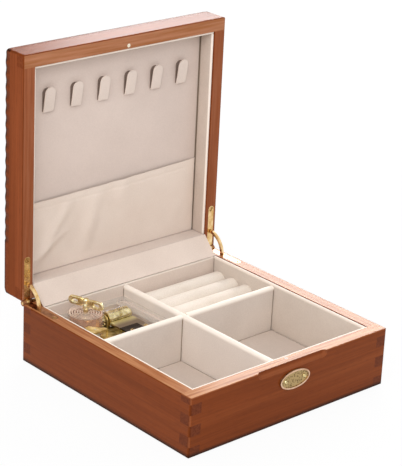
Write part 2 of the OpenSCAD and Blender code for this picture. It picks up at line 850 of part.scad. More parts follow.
module governor_wheel() {
    mesh_turn = gov_angle + 180 + (gov_angle * spur_teeth / 360 - 0.5) * 360 / gov_teeth;
    color(brass_colour) translate([gov_x, gov_y, 0]) {
        governor_arbor();
        translate([0, 0, wheel_z]) linear_extrude(wheel_t + seat) rotate(mesh_turn)
            polygon(tooth_ring(gov_teeth, gov_r + addendum * tooth_m, gov_r - dedendum * tooth_m));
        translate([0, 0, gov_wheel_z]) linear_extrude(gov_wheel_t) rotate(fly_angle)
            polygon(tooth_ring(gov_wheel_teeth, (gov_wheel_teeth / 2 + addendum) * fly_m,
                (gov_wheel_teeth / 2 - dedendum) * fly_m));
    }
}

module governor_fly() {
    half_tooth = 180 / fly_teeth;
    color("#d9d4c4") translate([fly_x, fly_y, 0]) {
        governor_arbor();
        translate([0, 0, gov_wheel_z]) linear_extrude(gov_wheel_t + seat) rotate(fly_angle + half_tooth)
            polygon(tooth_ring(fly_teeth, (fly_teeth / 2 + addendum) * fly_m,
                (fly_teeth / 2 - dedendum) * fly_m));
        box(-fly_vane_r, fly_vane_r, -fly_vane_t / 2, fly_vane_t / 2, fly_vane_z, fly_vane_z + fly_vane_h);
    }
}

// Quadrant hinges: leaves drawn in the closed rim, base leaf below it and lid leaf above it
module leaf_plate(z0, z1) {
    translate([0, 0, z0]) linear_extrude(z1 - z0) difference() {
        leaf_outline(0);
        translate([-leaf_w, hinge_y - knuckle_r - free]) square([2 * leaf_w, leaf_len]);
        translate([-arm_t / 2 - free, hinge_y - arm_r - arm_w / 2 - free])
            square([arm_t + 2 * free, arm_w + 2 * free]);
    }
}

module knuckle(x0, x1, up) {
    rod_x(x0, x1, hinge_y, base_h, knuckle_r);
    z0 = up > 0 ? base_h + leaf_flush : base_h - leaf_t;
    box(max(x0, -leaf_w / 2), min(x1, leaf_w / 2), hinge_y - knuckle_r - 2 * free, hinge_y,
        z0, z0 + leaf_t - leaf_flush);
}

module leaf_holes(up) {
    rod_x(-knuckle_len, knuckle_len, hinge_y, base_h, pin_r + running);
    translate([0, hinge_y - leaf_screw_at, base_h]) {
        translate([0, 0, -over]) cylinder(r = leaf_screw_r + running, h = 2 * over);
        mirror([0, 0, up > 0 ? 1 : 0]) translate([0, 0, -leaf_t])
            cylinder(r1 = leaf_screw_r + seat, r2 = leaf_screw_head_r + seat, h = leaf_t);
    }
}

module base_leaf(side) {
    color(brass_colour) translate([side * leaf_x, 0, 0]) difference() {
        union() {
            leaf_plate(base_h - leaf_t, base_h - leaf_flush);
            for (s = [-1, 1])
                knuckle(s > 0 ? knuckle_mid + running : -knuckle_len / 2,
                    s > 0 ? knuckle_len / 2 : -knuckle_mid - running, -1);
        }
        leaf_holes(-1);
    }
}

module left_base_leaf() {
    base_leaf(-1);
}

module right_base_leaf() {
    base_leaf(1);
}

module lid_leaf(side) {
    color(brass_colour) lid_pose() translate([side * leaf_x, 0, 0]) difference() {
        union() {
            leaf_plate(base_h + leaf_flush, base_h + leaf_t);
            knuckle(-knuckle_mid + running, knuckle_mid - running, 1);
        }
        leaf_holes(1);
    }
}

module left_lid_leaf() {
    lid_leaf(-1);
}

module right_lid_leaf() {
    lid_leaf(1);
}

module hinge_pins() {
    color(brass_colour) mirror_x()
        rod_x(leaf_x - knuckle_len / 2, leaf_x + knuckle_len / 2, hinge_y, base_h, pin_r);
}

module leaf_screw() {
    translate([0, 0, -leaf_screw_len]) cylinder(r = leaf_screw_r, h = leaf_screw_len - leaf_flush);
    translate([0, 0, -leaf_t])
        cylinder(r1 = leaf_screw_r, r2 = leaf_screw_head_r - seat, h = leaf_t - leaf_flush);
}

module base_leaf_screws() {
    color(brass_colour) mirror_x() translate([leaf_x, hinge_y - leaf_screw_at, base_h]) leaf_screw();
}

module lid_leaf_screws() {
    color(brass_colour) lid_pose() mirror_x()
        translate([leaf_x, hinge_y - leaf_screw_at, base_h]) mirror([0, 0, 1]) leaf_screw();
}

// Curved stay arm with a stop lug near each end, between the base rim and the open lid rim
module stay_arm(side) {
    color(brass_colour) translate([side * leaf_x, hinge_y, base_h]) {
        along_x(-arm_t / 2, arm_t / 2)
            arm_sector(arm_r - arm_w / 2, arm_r + arm_w / 2, lid_open - arm_past, 180 + arm_past);
        for (a = [lid_open - lug_past, 180 + lug_past])
            rod_x(-lug_len / 2, lug_len / 2, arm_r * cos(a), arm_r * sin(a), lug_r);
    }
}

module left_stay_arm() {
    stay_arm(-1);
}

module right_stay_arm() {
    stay_arm(1);
}

// Oval plate with a raised border, its screws, and the two catch magnets
module oval(w, h) {
    steps = 48;
    polygon([for (i = [0 : steps - 1]) [w / 2 * cos(360 * i / steps), h / 2 * sin(360 * i / steps)]]);
}

module oval_plate() {
    front = -box_d / 2;
    color("#b59a62") difference() {
        translate([plate_x, 0, plate_z]) {
            along_y(front - plate_t, front) oval(plate_w, plate_h);
            along_y(front - plate_t - plate_rim_h, front - plate_t / 2) difference() {
                oval(plate_w, plate_h);
                oval(plate_w - 2 * plate_rim_w, plate_h - 2 * plate_rim_w);
            }
        }
        for (s = [-1, 1])
            translate([plate_x + s * plate_screw_gap / 2, front - over, plate_z])
                rotate([-90, 0, 0]) cylinder(r = plate_screw_r + running, h = 2 * over);
    }
}

module plate_screws() {
    head_h = 0.9;
    front = -box_d / 2;
    color(brass_colour) for (s = [-1, 1])
        translate([plate_x + s * plate_screw_gap / 2, front - plate_t, plate_z]) rotate([-90, 0, 0]) {
            translate([0, 0, -head_h]) cylinder(r1 = plate_head_r * 0.7, r2 = plate_head_r, h = head_h);
            cylinder(r = plate_screw_r, h = plate_screw_len + plate_t - seat);
        }
}

module base_magnet() {
    color("#c9c6c2") translate([0, magnet_y, base_h - magnet_len]) cylinder(r = magnet_r, h = magnet_len);
}

module lid_magnet() {
    color("#c9c6c2") lid_pose() translate([0, magnet_y, base_h]) cylinder(r = magnet_r, h = magnet_len);
}

// Lid woodwork, drawn closed
module lid_block() {
    intersection() {
        soft_block(base_h, base_h + lid_h);
        along_x(-box_w, box_w) translate([0, base_h]) rounded_rect(box_d, 2 * lid_h, lid_edge_r);
        along_y(-box_d, box_d) translate([0, base_h]) rounded_rect(box_w, 2 * lid_h, lid_edge_r);
    }
}

module lid_board(kind, side) {
    color(wood_colour) lid_pose() difference() {
        intersection() {
            lid_block();
            if (kind == "long") long_board(base_h, base_h + lid_frame_h, side, 1);
            else end_board(base_h, base_h + lid_frame_h, side, 0);
        }
        if (kind == "end" || side > 0) hinge_room(1);
        if (kind == "long" && side > 0) strip_rebate(1);
        if (kind == "long" && side < 0)
            translate([0, magnet_y, base_h - over]) cylinder(r = magnet_r + running, h = magnet_len + over);
    }
}

module lid_front() {
    lid_board("long", -1);
}

module lid_back() {
    lid_board("long", 1);
}

module lid_left() {
    lid_board("end", -1);
}

module lid_right() {
    lid_board("end", 1);
}

module lid_top() {
    color(wood_colour) lid_pose() intersection() {
        lid_block();
        box(-box_w, box_w, -box_d, box_d, base_h + lid_frame_h, base_h + lid_h + over);
    }
}

module lid_panel_lining() {
    color(cloth_colour) lid_pose()
        box(-wood_x, wood_x, -wood_y, wood_y, lid_panel_z, lid_panel_z + lid_lining_t);
}

module lid_edge_linings() {
    z0 = base_h + lining_drop;
    color(cloth_colour) lid_pose() for (s = [-1, 1]) {
        box(-wood_x, wood_x, s > 0 ? in_y : -wood_y, s > 0 ? wood_y : -in_y, z0, lid_panel_z);
        box(s > 0 ? in_x : -wood_x, s > 0 ? wood_x : -in_x, -in_y, in_y, z0, lid_panel_z);
    }
}

// Necklace tabs: cloth-covered tongues that stand off the panel, round ends towards the lid's front
module necklace_tabs() {
    y0 = -in_y + tab_from_front;
    z0 = lid_panel_z - tab_gap - tab_t;
    color("#e2d3c6") lid_pose() for (i = [0 : tab_count - 1])
        translate([(i - (tab_count - 1) / 2) * tab_pitch, 0, 0]) intersection() {
            translate([0, 0, z0]) linear_extrude(lid_panel_z - z0) {
                translate([0, y0 + tab_w / 2]) circle(tab_w / 2);
                translate([-tab_w / 2, y0 + tab_w / 2]) square([tab_w, tab_len - tab_w / 2]);
            }
            along_x(-tab_w, tab_w) polygon([[y0, z0], [y0 + tab_len - tab_t, z0], [y0 + tab_len, z0 + tab_t],
                [y0 + tab_len, lid_panel_z], [y0 + tab_len - tab_t, lid_panel_z],
                [y0 + tab_len - 2 * tab_t, z0 + tab_t], [y0, z0 + tab_t]]);
        }
}

// Elastic pocket: slack cloth with gathers below its hem, drawn as one sheet of even thickness
function pocket_y(u, v) = pocket_back - v * (pocket_h - pocket_edge + hem_tilt * (u - 0.5));
function pocket_off(u, v) = pocket_lift + pocket_full * sin(180 * v * pocket_slack) * sqrt(sin(180 * u))
    + gather_d * v * (0.5 + 0.5 * cos(360 * gather_count * u)) * sin(180 * u);
function pocket_point(i, j, side) = let (u = i / pocket_cols, v = j / pocket_rows)
    [(2 * u - 1) * pocket_x, pocket_y(u, v), lid_panel_z - pocket_off(u, v) - (side > 0 ? pocket_t : 0)];
function pocket_index(i, j, side) = (side * (pocket_rows + 1) + j) * (pocket_cols + 1) + i;
function quad(a, b, c, d) = [[a, b, c], [a, c, d]];

module lid_pocket() {
    points = [for (side = [0, 1], j = [0 : pocket_rows], i = [0 : pocket_cols]) pocket_point(i, j, side)];
    cells = [for (j = [0 : pocket_rows - 1], i = [0 : pocket_cols - 1]) [i, j]];
    top = [for (c = cells) each quad(pocket_index(c[0], c[1], 0), pocket_index(c[0] + 1, c[1], 0),
        pocket_index(c[0] + 1, c[1] + 1, 0), pocket_index(c[0], c[1] + 1, 0))];
    under = [for (c = cells) each quad(pocket_index(c[0], c[1] + 1, 1), pocket_index(c[0] + 1, c[1] + 1, 1),
        pocket_index(c[0] + 1, c[1], 1), pocket_index(c[0], c[1], 1))];
    hem = [for (i = [0 : pocket_cols - 1], e = [0, 1])
        each let (j = e * pocket_rows, a = i + e, b = i + 1 - e)
            quad(pocket_index(a, j, 0), pocket_index(a, j, 1), pocket_index(b, j, 1), pocket_index(b, j, 0))];
    ends = [for (j = [0 : pocket_rows - 1], e = [0, 1])
        each let (i = e * pocket_cols, a = j + 1 - e, b = j + e)
            quad(pocket_index(i, a, 0), pocket_index(i, a, 1), pocket_index(i, b, 1), pocket_index(i, b, 0))];
    color("#e6d8cb") lid_pose() polyhedron(points, concat(top, under, hem, ends));
}

// Cloth hinge strip from the base's back lining to the lid's back lining, and its rebates in the rims
strip_x = in_x - free;
strip_rebate_d = 1;
strip_rebate_w = wall_t * 2 / 3;
strip_slant = strip_t / sqrt(2);
strip_y = in_y;
strip_z = lining_top + strip_slant + seat;
strip_rise = hinge_y - strip_y - (strip_z - base_h);

module strip_rebate(up) {
    z0 = up > 0 ? base_h - over : base_h - strip_rebate_d;
    box(-wood_x, wood_x, wood_y - over, wood_y + strip_rebate_w,
        z0, up > 0 ? base_h + strip_rebate_d : base_h + over);
}

module hinge_strip() {
    d = strip_slant;
    color("#e8dacd") along_x(-strip_x, strip_x) polygon([
        [strip_y, strip_z], [strip_y + strip_rise, strip_z + strip_rise],
        [strip_y + strip_rise + d, strip_z + strip_rise - d], [strip_y + d, strip_z - d]
    ]);
}

base_front();
base_back();
base_left();
base_right();
base_bottom();
base_felt();
floor_lining();
lining_front();
lining_back();
lining_left();
lining_right();
divider_cross();
divider_long();
ring_rolls();
well_frame();
sound_block();
damping_pad();
clear_deck();
bedplate();
comb();
comb_screws();
cylinder_brackets();
governor_bridge();
winding_key();
key_arbor();
spring_barrel();
barrel_wheel();
mainspring();
pin_cylinder();
cylinder_shaft();
cylinder_pinion();
governor_wheel();
governor_fly();
left_base_leaf();
right_base_leaf();
hinge_pins();
base_leaf_screws();
left_lid_leaf();
right_lid_leaf();
lid_leaf_screws();
left_stay_arm();
right_stay_arm();
oval_plate();
plate_screws();
base_magnet();
lid_magnet();
lid_front();
lid_back();
lid_left();
lid_right();
lid_top();
lid_panel_lining();
lid_edge_linings();
necklace_tabs();
lid_pocket();
hinge_strip();
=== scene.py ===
"""Musical jewellery box: stained wood, cloth linings, brass hinges and a key-wound movement."""
import math
import random
import bmesh
import bpy
from mathutils import Matrix, Vector, noise


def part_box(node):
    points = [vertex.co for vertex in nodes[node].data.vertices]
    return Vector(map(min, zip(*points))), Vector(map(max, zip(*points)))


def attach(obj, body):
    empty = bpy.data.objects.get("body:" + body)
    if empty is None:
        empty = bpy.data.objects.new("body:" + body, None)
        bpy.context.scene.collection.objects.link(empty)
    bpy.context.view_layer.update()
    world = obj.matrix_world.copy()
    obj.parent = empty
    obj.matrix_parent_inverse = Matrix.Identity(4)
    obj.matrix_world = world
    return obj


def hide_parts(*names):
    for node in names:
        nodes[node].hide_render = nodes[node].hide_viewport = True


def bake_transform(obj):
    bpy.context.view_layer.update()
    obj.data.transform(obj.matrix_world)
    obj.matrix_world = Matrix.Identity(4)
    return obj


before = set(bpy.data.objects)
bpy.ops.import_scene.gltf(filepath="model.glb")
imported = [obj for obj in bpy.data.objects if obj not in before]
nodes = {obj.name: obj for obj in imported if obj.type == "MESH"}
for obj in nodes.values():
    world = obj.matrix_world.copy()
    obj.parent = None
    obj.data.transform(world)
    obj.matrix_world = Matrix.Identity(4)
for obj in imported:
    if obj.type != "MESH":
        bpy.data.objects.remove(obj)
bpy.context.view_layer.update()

# Camera: a long lens a little above the box, looking at its front left corner.
# Place and turn follow the perspective of a frame of 402 by 466 pixels.
image_h = 466
focal_px = 1825.1
camera_place = Vector((-0.9128, -0.9880, 0.6642))
yaw, pitch, roll = math.radians(42.488), math.radians(-21.902), math.radians(2.777)

forward = Vector((math.sin(yaw) * math.cos(pitch), math.cos(yaw) * math.cos(pitch), math.sin(pitch)))
level = Vector((math.cos(yaw), -math.sin(yaw), 0))
upright = level.cross(forward)
right = math.cos(roll) * level + math.sin(roll) * upright
up = math.cos(roll) * upright - math.sin(roll) * level

camera = bpy.data.objects.new("camera", bpy.data.cameras.new("camera"))
camera.data.sensor_width = 36
camera.data.lens = focal_px * camera.data.sensor_width / image_h
camera.data.clip_end = 20
camera.matrix_world = Matrix((
    (right.x, up.x, -forward.x, camera_place.x),
    (right.y, up.y, -forward.y, camera_place.y),
    (right.z, up.z, -forward.z, camera_place.z),
    (0, 0, 0, 1),
))
bpy.context.scene.collection.objects.link(camera)
bpy.context.scene.camera = camera


# Boards of the base and lid: sapele, finger-jointed and glued, stained red-brown and lacquered.
# Grain runs along each board, so the finger ends show darker end grain at the corners.
mm = 0.001


def colour(hex_code):
    """Linear colour of an sRGB hex value."""
    parts = [int(hex_code[i:i + 2], 16) / 255 for i in (1, 3, 5)]
    linear = [c / 12.92 if c <= 0.04045 else ((c + 0.055) / 1.055) ** 2.4 for c in parts]
    return (*linear, 1)


def add(tree, kind, links=None, **settings):
    """Adds a node, sets its fields and feeds its sockets with values, sockets or nodes' first outputs."""
    node = tree.nodes.new("ShaderNode" + kind)
    for field, value in settings.items():
        setattr(node, field, value)
    for socket, value in (links or {}).items():
        if isinstance(value, bpy.types.Node):
            value = value.outputs[0]
        if isinstance(value, bpy.types.NodeSocket):
            tree.links.new(value, node.inputs[socket])
        else:
            node.inputs[socket].default_value = value
    return node


def new_finish(name):
    """An empty material, its tree and a coordinate socket in metres."""
    material = bpy.data.materials.new(name)
    material.use_nodes = True
    tree = material.node_tree
    tree.nodes.clear()
    return material, tree, add(tree, "TexCoord").outputs["Object"]


def show(tree, shader):
    """Ends a material with its shader."""
    tree.links.new(shader.outputs[0], add(tree, "OutputMaterial").inputs[0])


def mottle(tree, place, size, detail=2):
    """Noise whose blots have the given size in metres, one number or one for each axis."""
    sizes = size if isinstance(size, (tuple, list)) else (size, size, size)
    moved = add(tree, "Mapping", {0: place, "Scale": [1 / s for s in sizes]})
    return add(tree, "TexNoise", {0: moved, "Scale": 1, "Detail": detail})


def tones(tree, factor, *stops):
    """Colours from a factor, through hex values at given places."""
    node = add(tree, "ValToRGB", {0: factor})
    marks = node.color_ramp.elements
    while len(marks) < len(stops):
        marks.new(0.5)
    for mark, (place, hex_code) in zip(marks, stops):
        mark.position = place
        mark.color = colour(hex_code)
    return node


def wear(material, *objects):
    """Gives objects one material."""
    for item in objects:
        item.data.materials.clear()
        item.data.materials.append(material)


def stained_sapele(name, grain, shift, stain, cut, rim, rim_sheen, edge_light_and_shade, gloss):
    """Satin lacquered sapele, grain along axis 0 to 2, in tones of its faces and cut ends.

    rim is the axis and sign that its rim faces, and rim_sheen the two tones and the share of its paler rim,
    a painted sheen where the rim faces the light. edge_light_and_shade is the tone and share painted on its
    rounded edges and scooped cuts, painted shade where that tone is darker and painted light where it is
    paler, and how flat the wood is where that starts and where it is full."""
    material, tree, place = new_finish(name)
    place = add(tree, "Mapping", {0: place, "Location": (shift, shift, shift)})

    def streaks(width, length, detail):
        sizes = [width * mm] * 3
        sizes[grain] = length * mm
        return mottle(tree, place, sizes, detail)

    # ribbons of light and dark wood, fibres, and pores drawn wider than real ones so that they show
    ribbons = tones(tree, streaks(17, 300, 3), *zip((0.3, 0.5, 0.72), stain))
    fibres = tones(tree, streaks(1.5, 70, 4), (0.32, "#a69a94"), (0.62, "#ffffff"))
    pores = tones(tree, streaks(0.5, 9, 1), (0.28, "#8a6a5c"), (0.4, "#ffffff"))
    fibred = add(tree, "MixRGB", {0: 0.3, 1: ribbons, 2: fibres}, blend_type="MULTIPLY")
    long_grain = add(tree, "MixRGB", {0: 0.3, 1: fibred, 2: pores}, blend_type="MULTIPLY")
    end_grain = tones(tree, mottle(tree, place, 1.6 * mm, 3), *zip((0.35, 0.65), cut))
    normal = add(tree, "SeparateXYZ", {0: add(tree, "TexCoord").outputs["Normal"]}).outputs
    facing = [add(tree, "Math", {0: part}, operation="ABSOLUTE") for part in normal]
    is_end = add(tree, "Math", {0: facing[grain], 1: 0.75}, operation="GREATER_THAN")
    shown = add(tree, "MixRGB", {0: is_end, 1: long_grain, 2: end_grain})
    # the rims are painted paler, a painted sheen where they face the light
    axis, sign = rim
    on_rim = add(tree, "Math", {0: normal[axis], 1: sign}, operation="MULTIPLY")
    on_rim = add(tree, "MapRange", {0: on_rim, 1: 0.9, 2: 0.99})
    rim_sheen_tone = tones(tree, streaks(2.4, 45, 3), *zip((0.36, 0.62), rim_sheen[:2]))
    painted_light = add(tree, "MixRGB", {0: rim_sheen[2], 1: shown, 2: rim_sheen_tone})
    shown = add(tree, "MixRGB", {0: on_rim, 1: shown, 2: painted_light})
    # painted shade and painted light on rounded edges and scooped cuts, standing in for their shading
    flatness = add(tree, "Math", {0: facing[0], 1: facing[1]}, operation="MAXIMUM")
    flatness = add(tree, "Math", {0: flatness, 1: facing[2]}, operation="MAXIMUM")
    edge_light_and_shade_share = add(tree, "MapRange", {0: flatness, 1: edge_light_and_shade[2], 2: edge_light_and_shade[3], 3: 0.0, 4: edge_light_and_shade[1]})
    shown = add(tree, "MixRGB", {0: edge_light_and_shade_share, 1: shown, 2: colour(edge_light_and_shade[0])})
    # the base's boards turn dark towards their lowest edge
    height = add(tree, "SeparateXYZ", {0: add(tree, "TexCoord").outputs["Object"]}).outputs[2]
    foot_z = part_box("base_front")[0].z
    foot_fades, foot_full = foot_z + 4.2 * mm, foot_z + 1.6 * mm
    foot = add(tree, "MapRange", {0: height, 1: foot_fades, 2: foot_full, 3: 0.0, 4: 0.85})
    shown = add(tree, "MixRGB", {0: foot, 1: shown, 2: colour("#241008")})
    satin = add(tree, "MapRange", {0: flatness, 1: 0.99, 2: 0.85, 3: 0.3, 4: 0.8})
    bump = add(tree, "Bump", {"Height": fibres, "Strength": 0.1, "Distance": 0.1 * mm})
    show(tree, add(tree, "BsdfPrincipled", {
        "Base Color": shown, "Roughness": satin, "IOR": 1.45, "Specular IOR Level": gloss,
        "Specular Tint": colour("#ffe2ce"), "Normal": bump}))
    return material


base_stain, base_cut = ("#773712", "#7e3b16", "#87431d"), ("#5e2911", "#70351a")
base_rim = (2, 1)
# All rims carry a painted sheen. The front and back boards' rounded edges and thumb scoop are painted paler,
# painted light; the side boards' rounded edges are painted darker, painted shade.
wood_along_x = stained_sapele("stained_sapele_along_x", 0, 0.0, base_stain, base_cut, base_rim,
                              ("#a8683c", "#d69c6c", 0.65), ("#985c3e", 0.45, 0.99, 0.85), 0.12)
wood_along_y = stained_sapele("stained_sapele_along_y", 1, 0.31, base_stain, base_cut, base_rim,
                              ("#a8683c", "#d69c6c", 0.55), ("#3c1a0c", 0.3, 0.99, 0.85), 0.13)
wear(wood_along_x, nodes["base_front"], nodes["base_back"])
wear(wood_along_y, nodes["base_left"], nodes["base_right"])

# Bottom: a plywood sheet glued into the boards' rabbets, birch faced and left clear.
# It is seen only from below, round the felt.
material, tree, place = new_finish("birch_plywood")
figure = tones(tree, mottle(tree, place, (90 * mm, 4 * mm, 4 * mm), 3), (0.3, "#a67c52"), (0.7, "#c59b6c"))
show(tree, add(tree, "BsdfPrincipled", {"Base Color": figure, "Roughness": 0.62, "Specular IOR Level": 0.3}))
wear(material, nodes["base_bottom"])


# Underside: a sheet of dark wool felt glued over the bottom, so that the box does not scratch a table.
# Its pressed fibres give a soft, uneven nap.
def fit(shape, name, body, slot, material, *stands_for):
    """Makes a bmesh a finished piece on its body, in place of the named CAD nodes."""
    mesh = bpy.data.meshes.new(name)
    shape.to_mesh(mesh)
    shape.free()
    mesh.shade_smooth()
    mesh.set_sharp_from_angle(angle=math.radians(42))
    piece = bpy.data.objects.new(name, mesh)
    bpy.context.scene.collection.objects.link(piece)
    wear(material, piece)
    if body:
        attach(piece, body)
    if stands_for:
        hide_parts(*stands_for)
    return piece


def block(shape, low, high):
    """Adds a plain block, from its lowest to its highest corner, and returns its points."""
    low, high = Vector(low), Vector(high)
    made = bmesh.ops.create_cube(shape, size=1)["verts"]
    bmesh.ops.scale(shape, vec=high - low, verts=made)
    bmesh.ops.translate(shape, vec=(low + high) / 2, verts=made)
    return made


def round_edges(shape, edges, offset, steps):
    """Rounds edges evenly."""
    bmesh.ops.bevel(shape, geom=edges, offset=offset, offset_type="OFFSET", segments=steps, profile=0.5,
                    affect="EDGES", material=-1)


def soft_board(shape, low, high, rounding):
    """Adds a board with rounded edges, from its lowest to its highest corner."""
    edges = {e for v in block(shape, low, high) for e in v.link_edges}
    round_edges(shape, list(edges), rounding, 3)


material, tree, place = new_finish("pressed_wool_felt")
fluff = mottle(tree, place, 0.9 * mm, 4)
shade = tones(tree, fluff, (0.3, "#2c1e18"), (0.7, "#453127"))
bump = add(tree, "Bump", {"Height": fluff, "Strength": 0.5, "Distance": 0.3 * mm})
show(tree, add(tree, "BsdfPrincipled", {
    "Base Color": shade, "Roughness": 0.95, "Sheen Weight": 0.3, "Normal": bump}))
low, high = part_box("base_felt")
shape = bmesh.new()
soft_board(shape, low, high, 0.3 * mm)
felt = fit(shape, "felt_underside", "base", "felt", material, "base_felt")


# Linings: cotton flannel in pale beige, stretched over card and glued to the boards and the bottom.
# The floor has a thin foam under it, so that it is tucked down along the walls and dividers.
def flannel(name, dark, light, nap, lit_edge=None, shade_lines=()):
    """Brushed cotton with a short nap.

    lit_edge is an axis and two places, between which a painted highlight makes its folded edge paler. Each
    shade line is an axis, a place and how far from there painted shade darkens the cloth, where it meets the
    next surface."""
    material, tree, place = new_finish(name)
    cloud = mottle(tree, place, 34 * mm, 2)
    fibre = mottle(tree, place, nap * mm, 3)
    mix = add(tree, "Math", {0: cloud, 1: fibre}, operation="ADD")
    mix = add(tree, "Math", {0: mix, 1: 0.5}, operation="MULTIPLY")
    shade = tones(tree, mix, (0.34, dark), (0.66, light))
    # painted shade along each line where the cloth meets another surface
    for axis, shade_place, reach in shade_lines:
        along = add(tree, "SeparateXYZ", {0: place}).outputs[axis]
        off = add(tree, "Math", {0: along, 1: shade_place}, operation="SUBTRACT")
        off = add(tree, "Math", {0: off}, operation="ABSOLUTE")
        painted_seam_shade = add(tree, "MapRange", {0: off, 1: reach, 2: reach * 0.4})
        shade = add(tree, "MixRGB", {0: painted_seam_shade, 1: shade, 2: colour("#887664")})
    # painted highlight along the folded edge
    if lit_edge:
        axis, start, end = lit_edge
        along = add(tree, "SeparateXYZ", {0: place}).outputs[axis]
        painted_light = add(tree, "MapRange", {0: along, 1: start, 2: end})
        shade = add(tree, "MixRGB", {0: painted_light, 1: shade, 2: colour("#f6ebdf")})
    bump = add(tree, "Bump", {"Height": fibre, "Strength": 0.3, "Distance": 0.15 * mm})
    show(tree, add(tree, "BsdfPrincipled", {
        "Base Color": shade, "Roughness": 0.92, "Specular IOR Level": 0.2, "Sheen Weight": 0.18,
        "Sheen Roughness": 0.5, "Normal": bump}))
    return material


def close_up(shape):
    """Fills the open side of a shape and turns its faces outwards."""
    bmesh.ops.holes_fill(shape, edges=[e for e in shape.edges if e.is_boundary])
    bmesh.ops.recalc_face_normals(shape, faces=shape.faces)


def points_of(made):
    """The points among what an operator made."""
    return [v for v in made["geom"] if isinstance(v, bmesh.types.BMVert)]


tuck, tuck_reach, floor_top = 1.6 * mm, 2.4 * mm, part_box("floor_lining")[1].z
# The floor's flannel is a darker copy of the lining cloth, painted shade, with a painted shade line where it
# tucks down along the walls.
shaded_floor_flannel = flannel("shaded_floor_flannel", "#c0b0a4", "#cabaae", 1.1, shade_lines=[(2, floor_top - tuck, 1.1 * mm)])
walls_x = [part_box("lining_left")[1].x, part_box("divider_long")[0].x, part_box("divider_long")[1].x,
           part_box("lining_right")[0].x]
walls_y = [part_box("lining_front")[1].y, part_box("divider_cross")[0].y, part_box("divider_cross")[1].y,
           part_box("lining_back")[0].y]
low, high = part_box("floor_lining")
shape = bmesh.new()
bmesh.ops.create_grid(shape, x_segments=110, y_segments=110, size=0.5)
bmesh.ops.scale(shape, vec=(high.x - low.x, high.y - low.y, 1), verts=shape.verts)
rim = [e for e in shape.edges if e.is_boundary]
hem = points_of(bmesh.ops.extrude_edge_only(shape, edges=rim))
for v in shape.verts:
    near = min(min(abs(v.co.x - w) for w in walls_x), min(abs(v.co.y - w) for w in walls_y))
    inside = any(a < v.co.x < b for a, b in zip(walls_x, walls_x[1:])) and walls_y[0] < v.co.y < walls_y[3]
    rise = min(near / tuck_reach, 1) if inside else 0
    billow = 0.12 * mm * noise.noise((v.co.x / 0.03, v.co.y / 0.03, 0))
    v.co.z = high.z - tuck * (1 - math.sin(rise * math.pi / 2)) + billow * rise
for v in hem:
    v.co.z = low.z
close_up(shape)
floor_pad = fit(shape, "floor_pad", "base", "lining_cloth", shaded_floor_flannel, "floor_lining")

# the front, left and right ones stand nearly level with the rim, and show along it as a pale line, a painted
# highlight along their top edges
turn_over = 0.8 * mm
rim_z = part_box("base_front")[1].z
rim_lit_edge = (2, rim_z - 3.2 * mm, rim_z - 1.6 * mm)
edge_flannel = flannel("edge_flannel", "#d5c4b8", "#e0d0c4", 1.1, rim_lit_edge)
# The right wall's flannel is a darker copy, painted shade, with a painted shade line in its back corner.
shaded_right_flannel = flannel("shaded_right_flannel", "#ccbfb3", "#d7cbbf", 1.1, rim_lit_edge, [(1, walls_y[3], 1.4 * mm)])
for side in ("front", "back", "left", "right"):
    low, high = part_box("lining_" + side)
    if side != "back":
        high.z = rim_z - (0.5 if side == "right" else 0.2) * mm
    shape = bmesh.new()
    soft_board(shape, (low.x, low.y, low.z - tuck), high, turn_over)
    cloth = shaded_right_flannel if side == "right" else edge_flannel
    panel = fit(shape, "lining_panel_" + side, "base", "lining_cloth", cloth, "lining_" + side)
    run = max(high.x - low.x, high.y - low.y)


# Dividers: two boards wrapped in foam and flannel, halved into each other and pushed down on the floor pad.
# Their tops are round, and the wrapped cloth gives a little between its glued edges.
def wrapped_board(shape, low, high, along):
    """A padded board with a round top, its length along axis 0 or 1."""
    half = min(high.x - low.x, high.y - low.y) / 2

    def lengthwise(edge):
        return abs((edge.verts[0].co - edge.verts[1].co)[along]) > 2 * half

    def ours(edge):
        at = edge.verts[0].co
        return low.x - mm < at.x < high.x + mm and low.y - mm < at.y < high.y + mm

    def upright_at_end(edge):
        at = edge.verts[0].co[along]
        heights = [v.co.z for v in edge.verts]
        at_end = min(abs(at - low[along]), abs(at - high[along])) < 1e-5
        return at_end and min(heights) < low.z + mm < max(heights)

    edges = {e for v in block(shape, low, high) for e in v.link_edges if lengthwise(e)}
    top = [e for e in edges if min(v.co.z for v in e.verts) > (low.z + high.z) / 2]
    round_edges(shape, top, half * 0.98, 8)
    lines = [e for e in shape.edges if lengthwise(e) and ours(e)]
    bmesh.ops.subdivide_edges(shape, edges=lines, cuts=24, use_grid_fill=True)
    ends = [e for e in shape.edges if upright_at_end(e) and ours(e)]
    round_edges(shape, ends, 1.3 * mm, 3)


def ease(shape, amount, reach):
    """Moves points in and out a little, as cloth over foam does."""
    shape.normal_update()
    for v in shape.verts:
        v.co += v.normal * amount * (noise.noise(v.co / reach) - 0.35)


divider_top, let_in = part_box("divider_long")[1].z, 0.5 * mm
seam_shade_reach = 1.5 * mm
divider_lit_top = (2, divider_top - 3.6 * mm, divider_top - 1.2 * mm)
